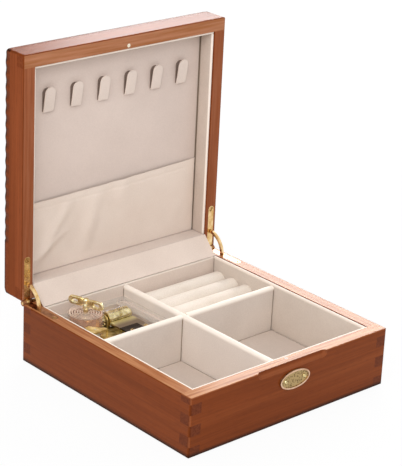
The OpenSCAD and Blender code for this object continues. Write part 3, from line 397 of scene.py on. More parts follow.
# The long divider's flannel is a lighter copy, painted light, and the cross divider's a darker copy, painted
# shade. Both have a painted highlight along their tops and painted shade lines where they meet the walls and
# the other divider.
lit_long_flannel = flannel("lit_long_divider_flannel", "#dbcfc5", "#e6dbd1", 1.1, divider_lit_top,
                       [(1, walls_y[0], seam_shade_reach), (1, walls_y[3], seam_shade_reach)])
shaded_cross_flannel = flannel("shaded_cross_divider_flannel", "#d3c7bd", "#ded3c9", 1.1, divider_lit_top,
                        [(0, walls_x[i], seam_shade_reach) for i in range(4)])
for name, along, cloth in (("divider_long", 1, lit_long_flannel), ("divider_cross", 0, shaded_cross_flannel)):
    low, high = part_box(name)
    low.z -= tuck
    shape = bmesh.new()
    if along == 1:
        wrapped_board(shape, low, high, along)
    else:
        wrapped_board(shape, low, Vector((walls_x[1] + let_in, high.y, high.z)), along)
        wrapped_board(shape, Vector((walls_x[2] - let_in, low.y, low.z)), high, along)
    ease(shape, 0.2 * mm, 0.02)
    pad = fit(shape, name + "_wrapped", "base", "lining_cloth", cloth, name)


# Ring rolls: four foam rolls, each sewn into soft cotton velour and pressed side by side into the back right.
# Each cover is blown up by its stuffing, flat below and against its neighbours.
def swell(shape, voxel, pressure, limit, floor_z):
    """Fills a sewn cover, with its points held near the pattern they were cut to; returns its mesh."""
    mesh = bpy.data.meshes.new("cover")
    shape.to_mesh(mesh)
    shape.free()
    cover = bpy.data.objects.new("cover", mesh)
    bpy.context.scene.collection.objects.link(cover)
    remesh = cover.modifiers.new("remesh", "REMESH")
    remesh.mode = "VOXEL"
    remesh.voxel_size = voxel
    bpy.context.view_layer.update()
    even = bpy.data.meshes.new_from_object(cover.evaluated_get(bpy.context.evaluated_depsgraph_get()))
    cover.modifiers.clear()
    cover.data = even
    start = [v.co.copy() for v in even.vertices]
    pinned = cover.vertex_groups.new(name="glued")
    pinned.add([v.index for v in even.vertices if v.co.z < floor_z], 1.0, "REPLACE")
    cloth = cover.modifiers.new("cloth", "CLOTH")
    cloth.settings.quality = 6
    cloth.settings.use_pressure = True
    cloth.settings.uniform_pressure_force = pressure
    cloth.settings.effector_weights.gravity = 0
    cloth.settings.vertex_group_mass = pinned.name
    cloth.settings.tension_stiffness = 25
    cloth.settings.compression_stiffness = 25
    cloth.settings.bending_stiffness = 0.3
    cloth.point_cache.frame_end = 20
    for step in range(1, 21):
        bpy.context.scene.frame_set(step)
    filled = bpy.data.meshes.new_from_object(cover.evaluated_get(bpy.context.evaluated_depsgraph_get()))
    cover.modifiers.clear()
    bpy.context.scene.frame_set(1)
    cover.data = filled
    for v, home in zip(cover.data.vertices, start):
        move = v.co - home
        if move.length > limit:
            v.co = home + move.normalized() * limit
    result = bmesh.new()
    result.from_mesh(cover.data)
    bpy.data.objects.remove(cover)
    return result


def join(shape, part, places):
    """Adds a copy of a part to a shape at each place, a matrix, and frees the part."""
    pattern = bpy.data.meshes.new("pattern")
    part.to_mesh(pattern)
    part.free()
    for place in places:
        before = len(shape.verts)
        shape.from_mesh(pattern)
        shape.verts.ensure_lookup_table()
        bmesh.ops.transform(shape, verts=shape.verts[before:], matrix=place)
    bpy.data.meshes.remove(pattern)


velour = flannel("cream_velour", "#dfd3c6", "#efe5da", 0.8)
roll_count, roll_gap, crown_h, end_press = 4, 0.3 * mm, 8.0 * mm, 1.2 * mm
low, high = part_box("ring_rolls")
pitch_y = (walls_y[3] - walls_y[2]) / roll_count
width, length = pitch_y - roll_gap, walls_x[3] - walls_x[2] + 2 * end_press
shape = bmesh.new()
made = bmesh.ops.create_cube(shape, size=1)["verts"]
slack, spare = 1.6 * mm, 6 * mm
bmesh.ops.scale(shape, vec=(length + spare, width - slack, high.z - low.z - slack), verts=made)
bmesh.ops.translate(shape, vec=(0, 0, (low.z + high.z - slack) / 2), verts=made)
crown = [e for e in shape.edges if abs(e.verts[0].co.x - e.verts[1].co.x) > 0.5 * length
         and e.verts[0].co.z > low.z + 10 * mm]
round_edges(shape, crown, crown_h, 8)
cover = swell(shape, 2.2 * mm, 4, 2.4 * mm, low.z + 1.5 * mm)
for v in cover.verts:
    v.co.y = max(-width / 2, min(width / 2, v.co.y))
    v.co.z = max(low.z, min(high.z, v.co.z))
for end in (-1, 1):
    bmesh.ops.bisect_plane(cover, geom=cover.verts[:] + cover.edges[:] + cover.faces[:], dist=1e-7,
                           plane_co=(end * length / 2, 0, 0), plane_no=(end, 0, 0), clear_outer=True)
bmesh.ops.holes_fill(cover, edges=[e for e in cover.edges if e.is_boundary])
rolls = bmesh.new()
roll_x = (walls_x[2] + walls_x[3]) / 2
join(rolls, cover, [Matrix.Translation((roll_x, walls_y[2] + (i + 0.5) * pitch_y, 0))
                    @ Matrix.Rotation(math.pi * (i % 2), 4, "Z") for i in range(roll_count)])
roll_pads = fit(rolls, "ring_roll_pads", "base", "soft_cloth", velour, "ring_rolls")
smooth = roll_pads.modifiers.new("smooth", "SUBSURF")
smooth.levels = smooth.render_levels = 1

# Movement well: a ledge of flannel-covered card round the back left compartment carries a clear acrylic deck.
# The sound block and a rubber pad stand on the floor and carry the movement.
low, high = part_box("well_frame")
ledge = 3.2 * mm
shape = bmesh.new()
for a, b in (((low.x, low.y), (high.x, low.y + ledge)), ((low.x, high.y - ledge), (high.x, high.y)),
             ((low.x, low.y + ledge), (low.x + ledge, high.y - ledge)),
             ((high.x - ledge, low.y + ledge), (high.x, high.y - ledge))):
    soft_board(shape, (*a, low.z - tuck), (*b, high.z), 0.5 * mm)
ledges = fit(shape, "well_ledges", "base", "lining_cloth", edge_flannel, "well_frame")


def clear_plastic(name, tint, haze, edge, rings=None):
    """Thin clear plastic, mostly see-through, whose upright edges look milky.

    rings is the axis that its moulded ridges lie round."""
    material, tree, place = new_finish(name)
    rise = add(tree, "SeparateXYZ", {0: add(tree, "TexCoord").outputs["Normal"]}).outputs[2]
    rise = add(tree, "Math", {0: rise}, operation="ABSOLUTE")
    cloud = mottle(tree, place, 6 * mm, 2)
    face = add(tree, "MapRange", {0: cloud, 3: haze * 0.7, 4: haze * 1.3})
    cover = add(tree, "Mix", {0: rise, 2: edge, 3: face})
    if rings:
        ridge_pitch, to_axis = 2.1 * mm, (-rings[0], -rings[1], 0)
        centred = add(tree, "Mapping", {0: place, "Location": to_axis, "Scale": (1, 1, 0)})
        radius = add(tree, "VectorMath", {0: centred}, operation="LENGTH").outputs["Value"]
        wave = add(tree, "Math", {0: radius, 1: 2 * math.pi / ridge_pitch}, operation="MULTIPLY")
        wave = add(tree, "Math", {0: wave}, operation="SINE")
        ridge = add(tree, "MapRange", {0: wave, 1: -0.2, 2: 0.9, 3: 0.0, 4: 0.6})
        ridge = add(tree, "Math", {0: ridge, 1: rise}, operation="MULTIPLY")
        cover = add(tree, "Math", {0: cover, 1: ridge}, operation="ADD")
    show(tree, add(tree, "BsdfPrincipled", {
        "Base Color": colour(tint), "Roughness": 0.06, "IOR": 1.49, "Alpha": cover}))
    return material


def moulded(name, hex_dark, hex_light, rough):
    """Moulded plastic or rubber with a fine spark texture from its mould."""
    material, tree, place = new_finish(name)
    grit = mottle(tree, place, 0.35 * mm, 2)
    shade = tones(tree, mottle(tree, place, 9 * mm, 2), (0.3, hex_dark), (0.7, hex_light))
    bump = add(tree, "Bump", {"Height": grit, "Strength": 0.25, "Distance": 0.08 * mm})
    show(tree, add(tree, "BsdfPrincipled", {"Base Color": shade, "Roughness": rough, "Normal": bump}))
    return material


wear(clear_plastic("clear_acrylic", "#f7efe6", 0.12, 0.5), nodes["clear_deck"])
wear(moulded("grey_abs", "#9b918a", "#aaa098", 0.42), nodes["sound_block"])
wear(moulded("black_rubber", "#1b1a19", "#262423", 0.8), nodes["damping_pad"])


# Movement: a stamped brass bedplate carries the comb, the pinned cylinder in its brackets and the governor.
# The parts are blanked or turned from brass and left bright; the comb is hardened, oiled steel.
def worked_metal(name, dark, light, rough, lay):
    """Bright metal with the fine lines of rolling or turning along one axis, and blots of tarnish."""
    material, tree, place = new_finish(name)
    sizes = [0.25 * mm] * 3
    sizes[lay] = 9 * mm
    lines = mottle(tree, place, sizes, 2)
    tarnish = mottle(tree, place, 5 * mm, 3)
    shade = tones(tree, tarnish, (0.3, dark), (0.7, light))
    spread = add(tree, "MapRange", {0: lines, 3: rough * 0.7, 4: rough * 1.5})
    bump = add(tree, "Bump", {"Height": lines, "Strength": 0.08, "Distance": 0.05 * mm})
    show(tree, add(tree, "BsdfPrincipled", {
        "Base Color": shade, "Metallic": 1.0, "Roughness": spread, "Normal": bump}))
    return material


rolled_brass = worked_metal("rolled_brass", "#b3944c", "#f8e9b4", 0.36, 0)
turned_brass = worked_metal("turned_brass", "#9c8348", "#f2e4b4", 0.2, 0)
bright_steel = worked_metal("bright_steel", "#a8a4a8", "#d6d2d8", 0.22, 0)
bedplate_brass = worked_metal("stamped_bedplate_brass", "#c2a258", "#fff0bc", 0.45, 0)
wear(bedplate_brass, nodes["bedplate"], nodes["governor_bridge"])
wear(rolled_brass, nodes["cylinder_brackets"], nodes["barrel_wheel"], nodes["governor_wheel"])
wear(turned_brass, nodes["pin_cylinder"], nodes["cylinder_pinion"], nodes["key_arbor"])
wear(bright_steel, nodes["cylinder_shaft"])
wear(worked_metal("tempered_spring_steel", "#d6a68c", "#ffdcc4", 0.2, 2), nodes["mainspring"])
low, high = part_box("spring_barrel")
barrel_axis = ((low.x + high.x) / 2, (low.y + high.y) / 2)
wear(clear_plastic("clear_polycarbonate", "#ffe4d0", 0.06, 0.1, barrel_axis), nodes["spring_barrel"])
wear(moulded("white_acetal", "#cfcabb", "#e2dccd", 0.4), nodes["governor_fly"])

# Comb: one steel plate, oiled black over its heel, with its sawn teeth ground bright and painted paler
# towards their tips, a painted highlight and reflection of the brass cylinder.
# The teeth reach from the heel to the cylinder.
low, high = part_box("comb")
tooth_len, black_share = 12.6 * mm, 0.74
root_y, worn_x = high.y - tooth_len, low.x + black_share * (high.x - low.x)
material, tree, place = new_finish("oiled_comb_steel")
along = add(tree, "SeparateXYZ", {0: place}).outputs
is_tooth = add(tree, "Math", {0: along[1], 1: root_y}, operation="GREATER_THAN")
black = tones(tree, mottle(tree, place, 5 * mm, 2), (0.3, "#2a2320"), (0.7, "#41372f"))
is_worn = add(tree, "Math", {0: along[0], 1: worn_x}, operation="GREATER_THAN")
heel = add(tree, "MixRGB", {0: is_worn, 1: black, 2: colour("#a39684")})
# the teeth's painted highlight grows towards their tips
from_root = add(tree, "MapRange", {0: along[1], 1: root_y, 2: high.y})
tooth_highlight = tones(tree, from_root, (0.35, "#a89a86"), (0.75, "#fbf3c4"))
shade = add(tree, "MixRGB", {0: is_tooth, 1: heel, 2: tooth_highlight})
show(tree, add(tree, "BsdfPrincipled", {"Base Color": shade, "Metallic": 1.0, "Roughness": 0.3}))
wear(material, nodes["comb"])

# Cylinder pins: short brass wires set in rows round the cylinder, one row for each comb tooth.
# They follow the cylinder and pass in front of the comb's tips.
low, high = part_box("pin_cylinder")
axis_y, axis_z, drum_r = (low.y + high.y) / 2, (low.z + high.z) / 2, (high.z - low.z) / 2
track_count, pins_on_track, pin_r, pin_h = 18, 9, 0.32 * mm, 0.6 * mm
tune = random.Random(7)
shape = bmesh.new()
for track in range(track_count):
    x = low.x + (track + 0.5) * (high.x - low.x) / track_count
    for pin in range(pins_on_track):
        angle = (pin + tune.uniform(0.05, 0.9)) * 2 * math.pi / pins_on_track
        place = Matrix.Translation((x, axis_y, axis_z)) @ Matrix.Rotation(angle, 4, "X")
        stand = place @ Matrix.Translation((0, 0, drum_r + pin_h / 2 - 0.05 * mm))
        bmesh.ops.create_cone(shape, cap_ends=True, segments=6, radius1=pin_r, radius2=pin_r * 0.8,
                              depth=pin_h, matrix=stand)
fit(shape, "cylinder_pins", "cylinder", "movement_brass", bright_steel)


# Screws: turned brass heads, slotted for a driver, that hold the comb, the leaves and the plate.
# Each head sits on or in the piece that it holds.
def turned(profile, steps=28):
    """A shape turned about Z from points of radius and height in millimetres."""
    shape = bmesh.new()
    points = [shape.verts.new((r * mm, 0, z * mm)) for r, z in profile]
    edges = [shape.edges.new(pair) for pair in zip(points, points[1:])]
    bmesh.ops.spin(shape, geom=points + edges, cent=(0, 0, 0), axis=(0, 0, 1), dvec=(0, 0, 0),
                   angle=2 * math.pi, steps=steps, use_merge=True, use_duplicate=False)
    bmesh.ops.remove_doubles(shape, verts=shape.verts, dist=1e-6)
    bmesh.ops.recalc_face_normals(shape, faces=shape.faces)
    return shape


def slotted(profile, slot_w, slot_d):
    """A turned screw whose flat top has a driver slot."""
    shape = turned(profile)
    top = max(v.co.z for v in shape.verts)
    for side in (-0.5, 0.5):
        bmesh.ops.bisect_plane(shape, geom=shape.verts[:] + shape.edges[:] + shape.faces[:], dist=1e-7,
                               plane_co=(0, side * slot_w * mm, 0), plane_no=(0, 1, 0))
    shape.normal_update()
    strip = [f for f in shape.faces if f.normal.z > 0.9 and f.calc_center_median().z > top - 0.2 * mm
             and abs(f.calc_center_median().y) < slot_w * mm / 2]
    sunk = points_of(bmesh.ops.extrude_face_region(shape, geom=strip))
    bmesh.ops.translate(shape, vec=(0, 0, -slot_d * mm), verts=sunk)
    bmesh.ops.delete(shape, geom=strip, context="FACES")
    return shape


def set_screws(name, body, slot, material, node, profile, slot_w, slot_d, places):
    """Puts like screws at their places, each a matrix and a turn of the slot in degrees."""
    shape = bmesh.new()
    turns = [place @ Matrix.Rotation(math.radians(turn), 4, "Z") for place, turn in places]
    join(shape, slotted(profile, slot_w, slot_d), turns)
    fit(shape, name, body, slot, material, node)


low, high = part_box("comb_screws")
head_r, head_h = 2.2, 1.3
spots = [(Matrix.Translation((x, (low.y + high.y) / 2, high.z)), turn)
         for x, turn in ((low.x + head_r * mm, 25), (high.x - head_r * mm, 70))]
comb_head = [(0, -7), (1.1, -7), (1.2, -6.6), (1.2, -head_h), (head_r, -head_h), (head_r, -0.35),
             (head_r - 0.35, 0), (0, 0)]
set_screws("comb_screw_heads", "base", "movement_brass", turned_brass, "comb_screws", comb_head, 0.6, 0.6,
           spots)

# Winding key: a cast brass butterfly key with two eyed wings on a hub, screwed on the barrel's arbor.
# It is tumbled smooth and polished, so every edge is round.
low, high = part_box("winding_key")
arbor_low, arbor_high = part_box("key_arbor")
hub_x, hub_y = (arbor_low.x + arbor_high.x) / 2, (arbor_low.y + arbor_high.y) / 2
key_turn = math.radians(-71)
key_len, wing_h, wing_t, hub_r, hub_drop = 33.2 * mm, 7.6 * mm, 2.3 * mm, 2.7 * mm, 1.6 * mm
wing = key_len / 2 - hub_r * 0.6
wing_mid = hub_r * 0.6 + wing / 2
key_z = high.z - wing_h / 2


def loop(shape, length, height, middle, steps=36):
    """A level-ended oval loop of edges in the XZ plane."""
    made = bmesh.ops.create_circle(shape, cap_ends=False, segments=steps, radius=height / 2)["verts"]
    bmesh.ops.rotate(shape, verts=made, matrix=Matrix.Rotation(math.pi / 2, 3, "X"))
    for v in made:
        v.co.x += middle + math.copysign((length - height) / 2, v.co.x)
    return list({e for v in made for e in v.link_edges})


shape = bmesh.new()
for side in (-1, 1):
    outer = loop(shape, wing, wing_h, side * wing_mid)
    eye = loop(shape, wing * 0.38, wing_h * 0.32, side * (wing_mid + wing_h * 0.14))
    flat = bmesh.ops.bridge_loops(shape, edges=outer + eye)["faces"]
    thick = points_of(bmesh.ops.extrude_face_region(shape, geom=flat))
    bmesh.ops.translate(shape, vec=(0, wing_t, 0), verts=thick)
bmesh.ops.translate(shape, vec=(0, -wing_t / 2, 0), verts=shape.verts)
bmesh.ops.recalc_face_normals(shape, faces=shape.faces)
sharp = [e for e in shape.edges if len(e.link_faces) == 2 and e.calc_face_angle(0) > 1]
round_edges(shape, sharp, 0.6 * mm, 4)
hub_top, hub_low = wing_h / 2 / mm, (-wing_h / 2 - hub_drop) / mm
r = hub_r / mm
hub = turned([(0, hub_low), (r - 0.4, hub_low), (r, hub_low + 0.4), (r, -1.6), (r * 0.86, -0.6),
              (r * 0.86, 1.2), (r, 2.2), (r, hub_top - 1.2), (r * 0.75, hub_top - 0.25), (0, hub_top)])
join(shape, hub, [Matrix()])
bmesh.ops.transform(shape, verts=shape.verts,
                    matrix=Matrix.Translation((hub_x, hub_y, key_z)) @ Matrix.Rotation(key_turn, 4, "Z"))
key_brass = worked_metal("polished_cast_brass", "#d2b468", "#fffad8", 0.12, 2)
fit(shape, "butterfly_key", "key", "key_brass", key_brass, "winding_key")

# Quadrant hinges: stamped brass leaves let into the rims, joined by a knuckle and pin at the back.
# A curved stay arm runs in slots in both rims and stops the lid upright.
hinge_brass = worked_metal("drawn_hinge_brass", "#d0a462", "#f9daa6", 0.18, 1)
screw_brass = worked_metal("tarnished_screw_brass", "#a8854e", "#dcb87c", 0.22, 0)
wear(hinge_brass, *(nodes[n] for n in (
    "left_lid_leaf", "right_lid_leaf", "left_stay_arm", "right_stay_arm", "hinge_pins")))
# The base leaves are painted brown, a painted reflection of the wood round them.
brown_reflection_brass = worked_metal("leaf_brass_painted_reflection", "#8a5838", "#b08058", 0.22, 1)
wear(brown_reflection_brass, nodes["left_base_leaf"], nodes["right_base_leaf"])
head_r, leaf_slot = 2.0, 0.8
sunk_head = [(0, -9), (0.3, -9), (1.0, -8), (1.1, -1.5), (head_r, -0.15), (head_r, 0), (0, 0)]
to_front = Matrix.Rotation(math.pi / 2, 4, "X")
low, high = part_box("base_leaf_screws")
spots = [(Matrix.Translation((s * (high.x - head_r * mm), (low.y + high.y) / 2, high.z)), 40 * s)
         for s in (-1, 1)]
set_screws("base_leaf_screw_heads", "base", "hinge_brass", screw_brass, "base_leaf_screws", sunk_head,
           leaf_slot, leaf_slot, spots)
low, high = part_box("lid_leaf_screws")
spots = [(Matrix.Translation((s * (high.x - head_r * mm), low.y, (low.z + high.z) / 2)) @ to_front, 55 * s)
         for s in (-1, 1)]
set_screws("lid_leaf_screw_heads", "lid", "hinge_brass", screw_brass, "lid_leaf_screws", sunk_head,
           leaf_slot, leaf_slot, spots)

# Pin collars: two brass tubes in line with the hinge pins, butted on the inner ends of the knuckles.
# They fill the slit that the hinges leave under the open lid.
low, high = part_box("hinge_pins")
hinge_y, hinge_z = (low.y + high.y) / 2, (low.z + high.z) / 2
collar_r, collar_in, collar_out = 1.45 * mm, 85 * mm, 95.3 * mm
shape = bmesh.new()
for s in (-1, 1):
    middle = Matrix.Translation((s * (collar_in + collar_out) / 2, hinge_y, hinge_z))
    bmesh.ops.create_cone(shape, cap_ends=True, segments=24, radius1=collar_r, radius2=collar_r,
                          depth=collar_out - collar_in, matrix=middle @ Matrix.Rotation(math.pi / 2, 4, "Y"))
fit(shape, "hinge_pin_collars", "base", "hinge_brass", hinge_brass)

# Oval plate: struck from soft brass with a raised border and left without lettering.
# Its sunk field is stippled by the die; two small screws hold it to the front board.
low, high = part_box("oval_plate")
border_d = 0.3 * mm
material, tree, place = new_finish("struck_plate_brass")
depth = add(tree, "SeparateXYZ", {0: place}).outputs[1]
on_rim = add(tree, "Math", {0: depth, 1: low.y + border_d}, operation="LESS_THAN")
stipple = add(tree, "TexVoronoi", {0: place, "Scale": 1 / (1.8 * mm)})
field = tones(tree, stipple, (0.1, "#5c4829"), (0.55, "#b4996a"))
polish = tones(tree, mottle(tree, place, 4 * mm, 2), (0.3, "#c99f7e"), (0.7, "#e8c8ac"))
shade = add(tree, "MixRGB", {0: on_rim, 1: field, 2: polish})
bump = add(tree, "Bump", {"Height": stipple, "Strength": 0.5, "Distance": 0.2 * mm})
show(tree, add(tree, "BsdfPrincipled", {
    "Base Color": shade, "Metallic": 1.0, "Roughness": 0.34, "Normal": bump}))
wear(material, nodes["oval_plate"])
low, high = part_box("plate_screws")
head_r = 1.7
spots = [(Matrix.Translation((x, low.y, (low.z + high.z) / 2)) @ to_front, turn)
         for x, turn in ((low.x + head_r * mm, 30), (high.x - head_r * mm, -20))]
plate_head = [(0, -8), (1, -8), (1, -0.9), (head_r, -0.9), (1.6, -0.45), (1.2, 0), (0, 0)]
set_screws("plate_screw_heads", "base", "plate_brass", turned_brass, "plate_screws", plate_head, 0.45, 0.4,
           spots)

# Magnets: two small nickel-plated discs glued into the front rims, which hold the lid shut.
# The one in the base is scuffed, and the one in the lid still shines.
nickel = worked_metal("nickel_plated_magnet", "#7d756e", "#a39a92", 0.5, 0)
wear(nickel, nodes["base_magnet"])
wear(worked_metal("polished_magnet", "#e8dcc4", "#fff6e4", 0.15, 0), nodes["lid_magnet"])

# Lid: four finger-jointed boards and a thick top panel, in the same stained sapele as the base.
# The top's outer edge is rounded, and its sides carry a row of shallow thumb cuts, plain near the hinges.
lid_stain, lid_cut, lid_rim = ("#7b3b18", "#854220", "#914b28"), ("#703316", "#80401f"), (1, -1)
# The lid boards' rims carry a painted sheen and their rounded edges painted shade. The carved top's rounded
# edge is painted almost black, a painted shade along its round.
lid_wood_along_x = stained_sapele("lid_sapele_along_x", 0, 0.17, lid_stain, lid_cut, lid_rim,
                                  ("#b07850", "#cc9472", 0.55), ("#3c1a0c", 0.15, 0.99, 0.85), 0.034)
lid_wood_along_z = stained_sapele("lid_sapele_along_z", 2, 0.53, lid_stain, lid_cut, lid_rim,
                                  ("#9c6246", "#b47a5c", 0.35), ("#3c1a0c", 0.4, 0.99, 0.85), 0.034)
lid_top_wood = stained_sapele("lid_top_sapele", 0, 0.4, lid_stain, lid_cut, lid_rim,
                              ("#b07850", "#cc9472", 0.0), ("#2a1208", 0.92, 0.9995, 0.97), 0.034)
wear(lid_wood_along_x, nodes["lid_front"], nodes["lid_back"])
wear(lid_wood_along_z, nodes["lid_left"], nodes["lid_right"])
open_lid = (Matrix.Translation((0, hinge_y, hinge_z)) @ Matrix.Rotation(-math.pi / 2, 4, "X")
            @ Matrix.Translation((0, -hinge_y, -hinge_z)))
low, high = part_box("lid_top")
half_w, half_d = high.x, (high.z - low.z) / 2
top_z0, top_z1 = hinge_z + low.y - hinge_y, hinge_z + high.y - hinge_y
round_r, cut_pitch, cut_depth, cut_reach, plain_back = 5 * mm, 10.3 * mm, 0.6 * mm, 7 * mm, 46 * mm
corner_r = 2 * mm
edge_steps = [0, 0.15, 0.6, 1.35, 2.4, 4.0, 5.5, 7.0]


def fit_open(shape, name, slot, material, *stands_for):
    """Turns a shape made for the closed lid up with it, and makes it a finished piece on the lid."""
    bmesh.ops.transform(shape, matrix=open_lid, verts=shape.verts)
    return fit(shape, name, "lid", slot, material, *stands_for)


def edge_line(index, count, half):
    """Place of a grid line: close together at the rounded edge, even between."""
    last = len(edge_steps) - 1
    if index <= last:
        return -half + edge_steps[index] * mm
    if index >= count - last:
        return half - edge_steps[count - index] * mm
    inner = half - edge_steps[last] * mm
    return -inner + 2 * inner * (index - last) / (count - 2 * last)


grid = 150
shape = bmesh.new()
bmesh.ops.create_grid(shape, x_segments=grid, y_segments=grid, size=1)
for v in shape.verts:
    i, j = round((v.co.x + 1) / 2 * grid), round((v.co.y + 1) / 2 * grid)
    v.co = Vector((edge_line(i, grid, half_w), edge_line(j, grid, half_d), top_z1))
rim = [e for e in shape.edges if e.is_boundary]
foot = points_of(bmesh.ops.extrude_edge_only(shape, edges=rim))
for v in foot:
    v.co.z = top_z0
for v in shape.verts:
    if v in foot:
        continue
    gap_x, gap_y = half_w - abs(v.co.x), half_d - abs(v.co.y)
    near = min(gap_x, gap_y)
    drop = 0
    for gap in (gap_x, gap_y):
        if gap < round_r:
            drop += round_r - math.sqrt(max(0, round_r ** 2 - (round_r - gap) ** 2))
    v.co.z -= min(drop, round_r)
    if gap_x < gap_y and near < cut_reach and v.co.y < half_d - plain_back:
        wave = 0.5 - 0.5 * math.cos(2 * math.pi * v.co.y / cut_pitch)
        cut = cut_depth * wave * (1 - near / cut_reach) ** 1.5
        v.co += Vector((-math.copysign(1, v.co.x), 0, -0.5)) * cut
for v in shape.verts:
    out = Vector((abs(v.co.x) - half_w + corner_r, abs(v.co.y) - half_d + corner_r))
    if min(out) > 0 and out.length > corner_r:
        out = out.normalized() * corner_r
        v.co.x = math.copysign(half_w - corner_r + out.x, v.co.x)
        v.co.y = math.copysign(half_d - corner_r + out.y, v.co.y)
close_up(shape)
fit_open(shape, "carved_lid_top", "wood", lid_top_wood, "lid_top")

# Lid linings: flannel over card on the inside of the top and round the four inner walls.
# The panel is one piece, laid in first; the edge strips hold it down.
low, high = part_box("lid_panel_lining")
lining_t = 2 * mm
# The panel's flannel has painted shade lines along its sides, where the edge strips stand on it.
panel_flannel = flannel("panel_flannel", "#d2c1b7", "#dac9bf", 1.1,
                        shade_lines=[(0, s * (high.x - lining_t), 1.2 * mm) for s in (-1, 1)])
shape = bmesh.new()
soft_board(shape, low, high, 0.6 * mm)
panel = fit(shape, "lid_panel_flannel", "lid", "lining_cloth", panel_flannel, "lid_panel_lining")
low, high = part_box("lid_edge_linings")
wood_x, wood_y = high.x, (high.z - low.z) / 2
in_x, in_y = wood_x - lining_t, wood_y - lining_t
strip_z0, panel_z = hinge_z + low.y - hinge_y, hinge_z + high.y - hinge_y
lid_lit_edge = (1, low.y + 2.0 * mm, low.y + 0.8 * mm)
# The edge strips' flannel is a darker copy, painted shade, with a painted highlight along their rim edges and
# a painted shade line where they meet the panel.
shaded_lid_edge_flannel = flannel("shaded_lid_edge_flannel", "#c4b3a6", "#d0c0b3", 1.1, lid_lit_edge, [(1, high.y, 2.0 * mm)])
shape = bmesh.new()
soft_board(shape, (-wood_x, -wood_y, strip_z0), (wood_x, -in_y, panel_z), turn_over)
for x in (-wood_x, in_x):
    soft_board(shape, (x, -in_y, strip_z0), (x + lining_t, in_y, panel_z), turn_over)
strips = fit_open(shape, "shaded_lid_edge_flannel", "lining_cloth", shaded_lid_edge_flannel, "lid_edge_linings")
back_flannel = flannel("back_flannel", "#cdbcb1", "#d8c8bd", 1.1)
shape = bmesh.new()
soft_board(shape, (-wood_x, in_y, strip_z0), (wood_x, wood_y, panel_z), turn_over)
back_strip = fit_open(shape, "lid_back_flannel", "lining_cloth", back_flannel)

# Necklace tabs: six tongues of folded flannel with a stiff core, sewn to the panel at their lower ends.
# Each leans away from the panel towards its round upper end, so that a chain hangs behind it.
low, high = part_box("necklace_tabs")
tab_count, tab_w, tab_t, tab_stand = 6, 10 * mm, 1.2 * mm, 4.8 * mm
tab_pitch, tab_len = (high.x - low.x - tab_w) / (tab_count - 1), high.z - low.z
tab_top = hinge_y + hinge_z - high.z
tab_places = [(i - (tab_count - 1) / 2) * tab_pitch for i in range(tab_count)]
shape = bmesh.new()
for x in tab_places:
    tongue = bmesh.new()
    bmesh.ops.create_grid(tongue, x_segments=10, y_segments=24, size=0.5)
    for v in tongue.verts:
        u, t = v.co.x * 2, v.co.y + 0.5
        run = t * tab_len
        round_w = math.sqrt(max(0, 1 - max(0, 1 - run / (tab_w / 2)) ** 2))
        lean = (1 - t) ** 0.8 * (tab_stand - tab_t)
        v.co = Vector((u * tab_w / 2 * max(round_w, 0.02), tab_top + run, panel_z - lean - tab_t))
    bmesh.ops.recalc_face_normals(tongue, faces=tongue.faces)
    bmesh.ops.solidify(tongue, geom=tongue.faces[:], thickness=tab_t)
    cross = [e for e in tongue.edges if len(e.link_faces) == 2 and e.calc_face_angle(0) > 0.9]
    round_edges(tongue, cross, 0.35 * mm, 2)
    bmesh.ops.recalc_face_normals(tongue, faces=tongue.faces)
    join(shape, tongue, [Matrix.Translation((x, 0, 0))])
tab_flannel = flannel("folded_flannel", "#d8c8bd", "#e2d2c7", 0.9)
tabs = fit_open(shape, "necklace_tongues", "soft_cloth", tab_flannel, "necklace_tabs")

# Tab shadows: a thin dark patch on the panel behind each tongue, a painted shadow.
# Each shows as a dark wedge beside its tongue.
patch_w, patch_len, patch_t, patch_sunk = tab_w - 1 * mm, tab_len - 2 * mm, 0.4 * mm, 0.1 * mm
patch_y, patch_z = tab_top + tab_len, panel_z + patch_sunk
shape = bmesh.new()
for x in tab_places:
    made = block(shape, (x - patch_w / 2, patch_y - patch_len, patch_z - patch_t),
                 (x + patch_w / 2, patch_y, patch_z))
    ends = {e for v in made for e in v.link_edges if abs(e.verts[0].co.z - e.verts[1].co.z) > patch_t / 2
            and e.verts[0].co.y < tab_top + tab_len / 2}
    round_edges(shape, list(ends), patch_w * 0.48, 8)
material, tree, place = new_finish("painted_tab_shadow")
fluff = mottle(tree, place, 0.9 * mm, 4)
shade = tones(tree, fluff, (0.3, "#78685d"), (0.7, "#8e7d73"))
show(tree, add(tree, "BsdfPrincipled", {"Base Color": shade, "Roughness": 0.95, "Specular IOR Level": 0.1}))
shadow_patches = fit_open(shape, "tab_shadow_patches", "felt", material)

# Lid pocket: silky poplin, sewn down along three sides, with a hem over elastic along its top edge.
# The elastic draws the hem up a little, so that the cloth bellies and folds below it.
low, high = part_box("lid_pocket")
hem_tilt, hem_w = 4.6 * mm, 6 * mm
pocket_x, pocket_y, pocket_h = high.x, hinge_y + hinge_z - low.z, high.z - low.z - hem_tilt / 2
lift, belly, gather_d, gathers, pocket_t = 0.4 * mm, 2.6 * mm, 0.4 * mm, 9, 0.5 * mm
stitch_d, stitch_w, fold_w, fullness = 0.25 * mm, 0.8 * mm, 0.04, 1.05
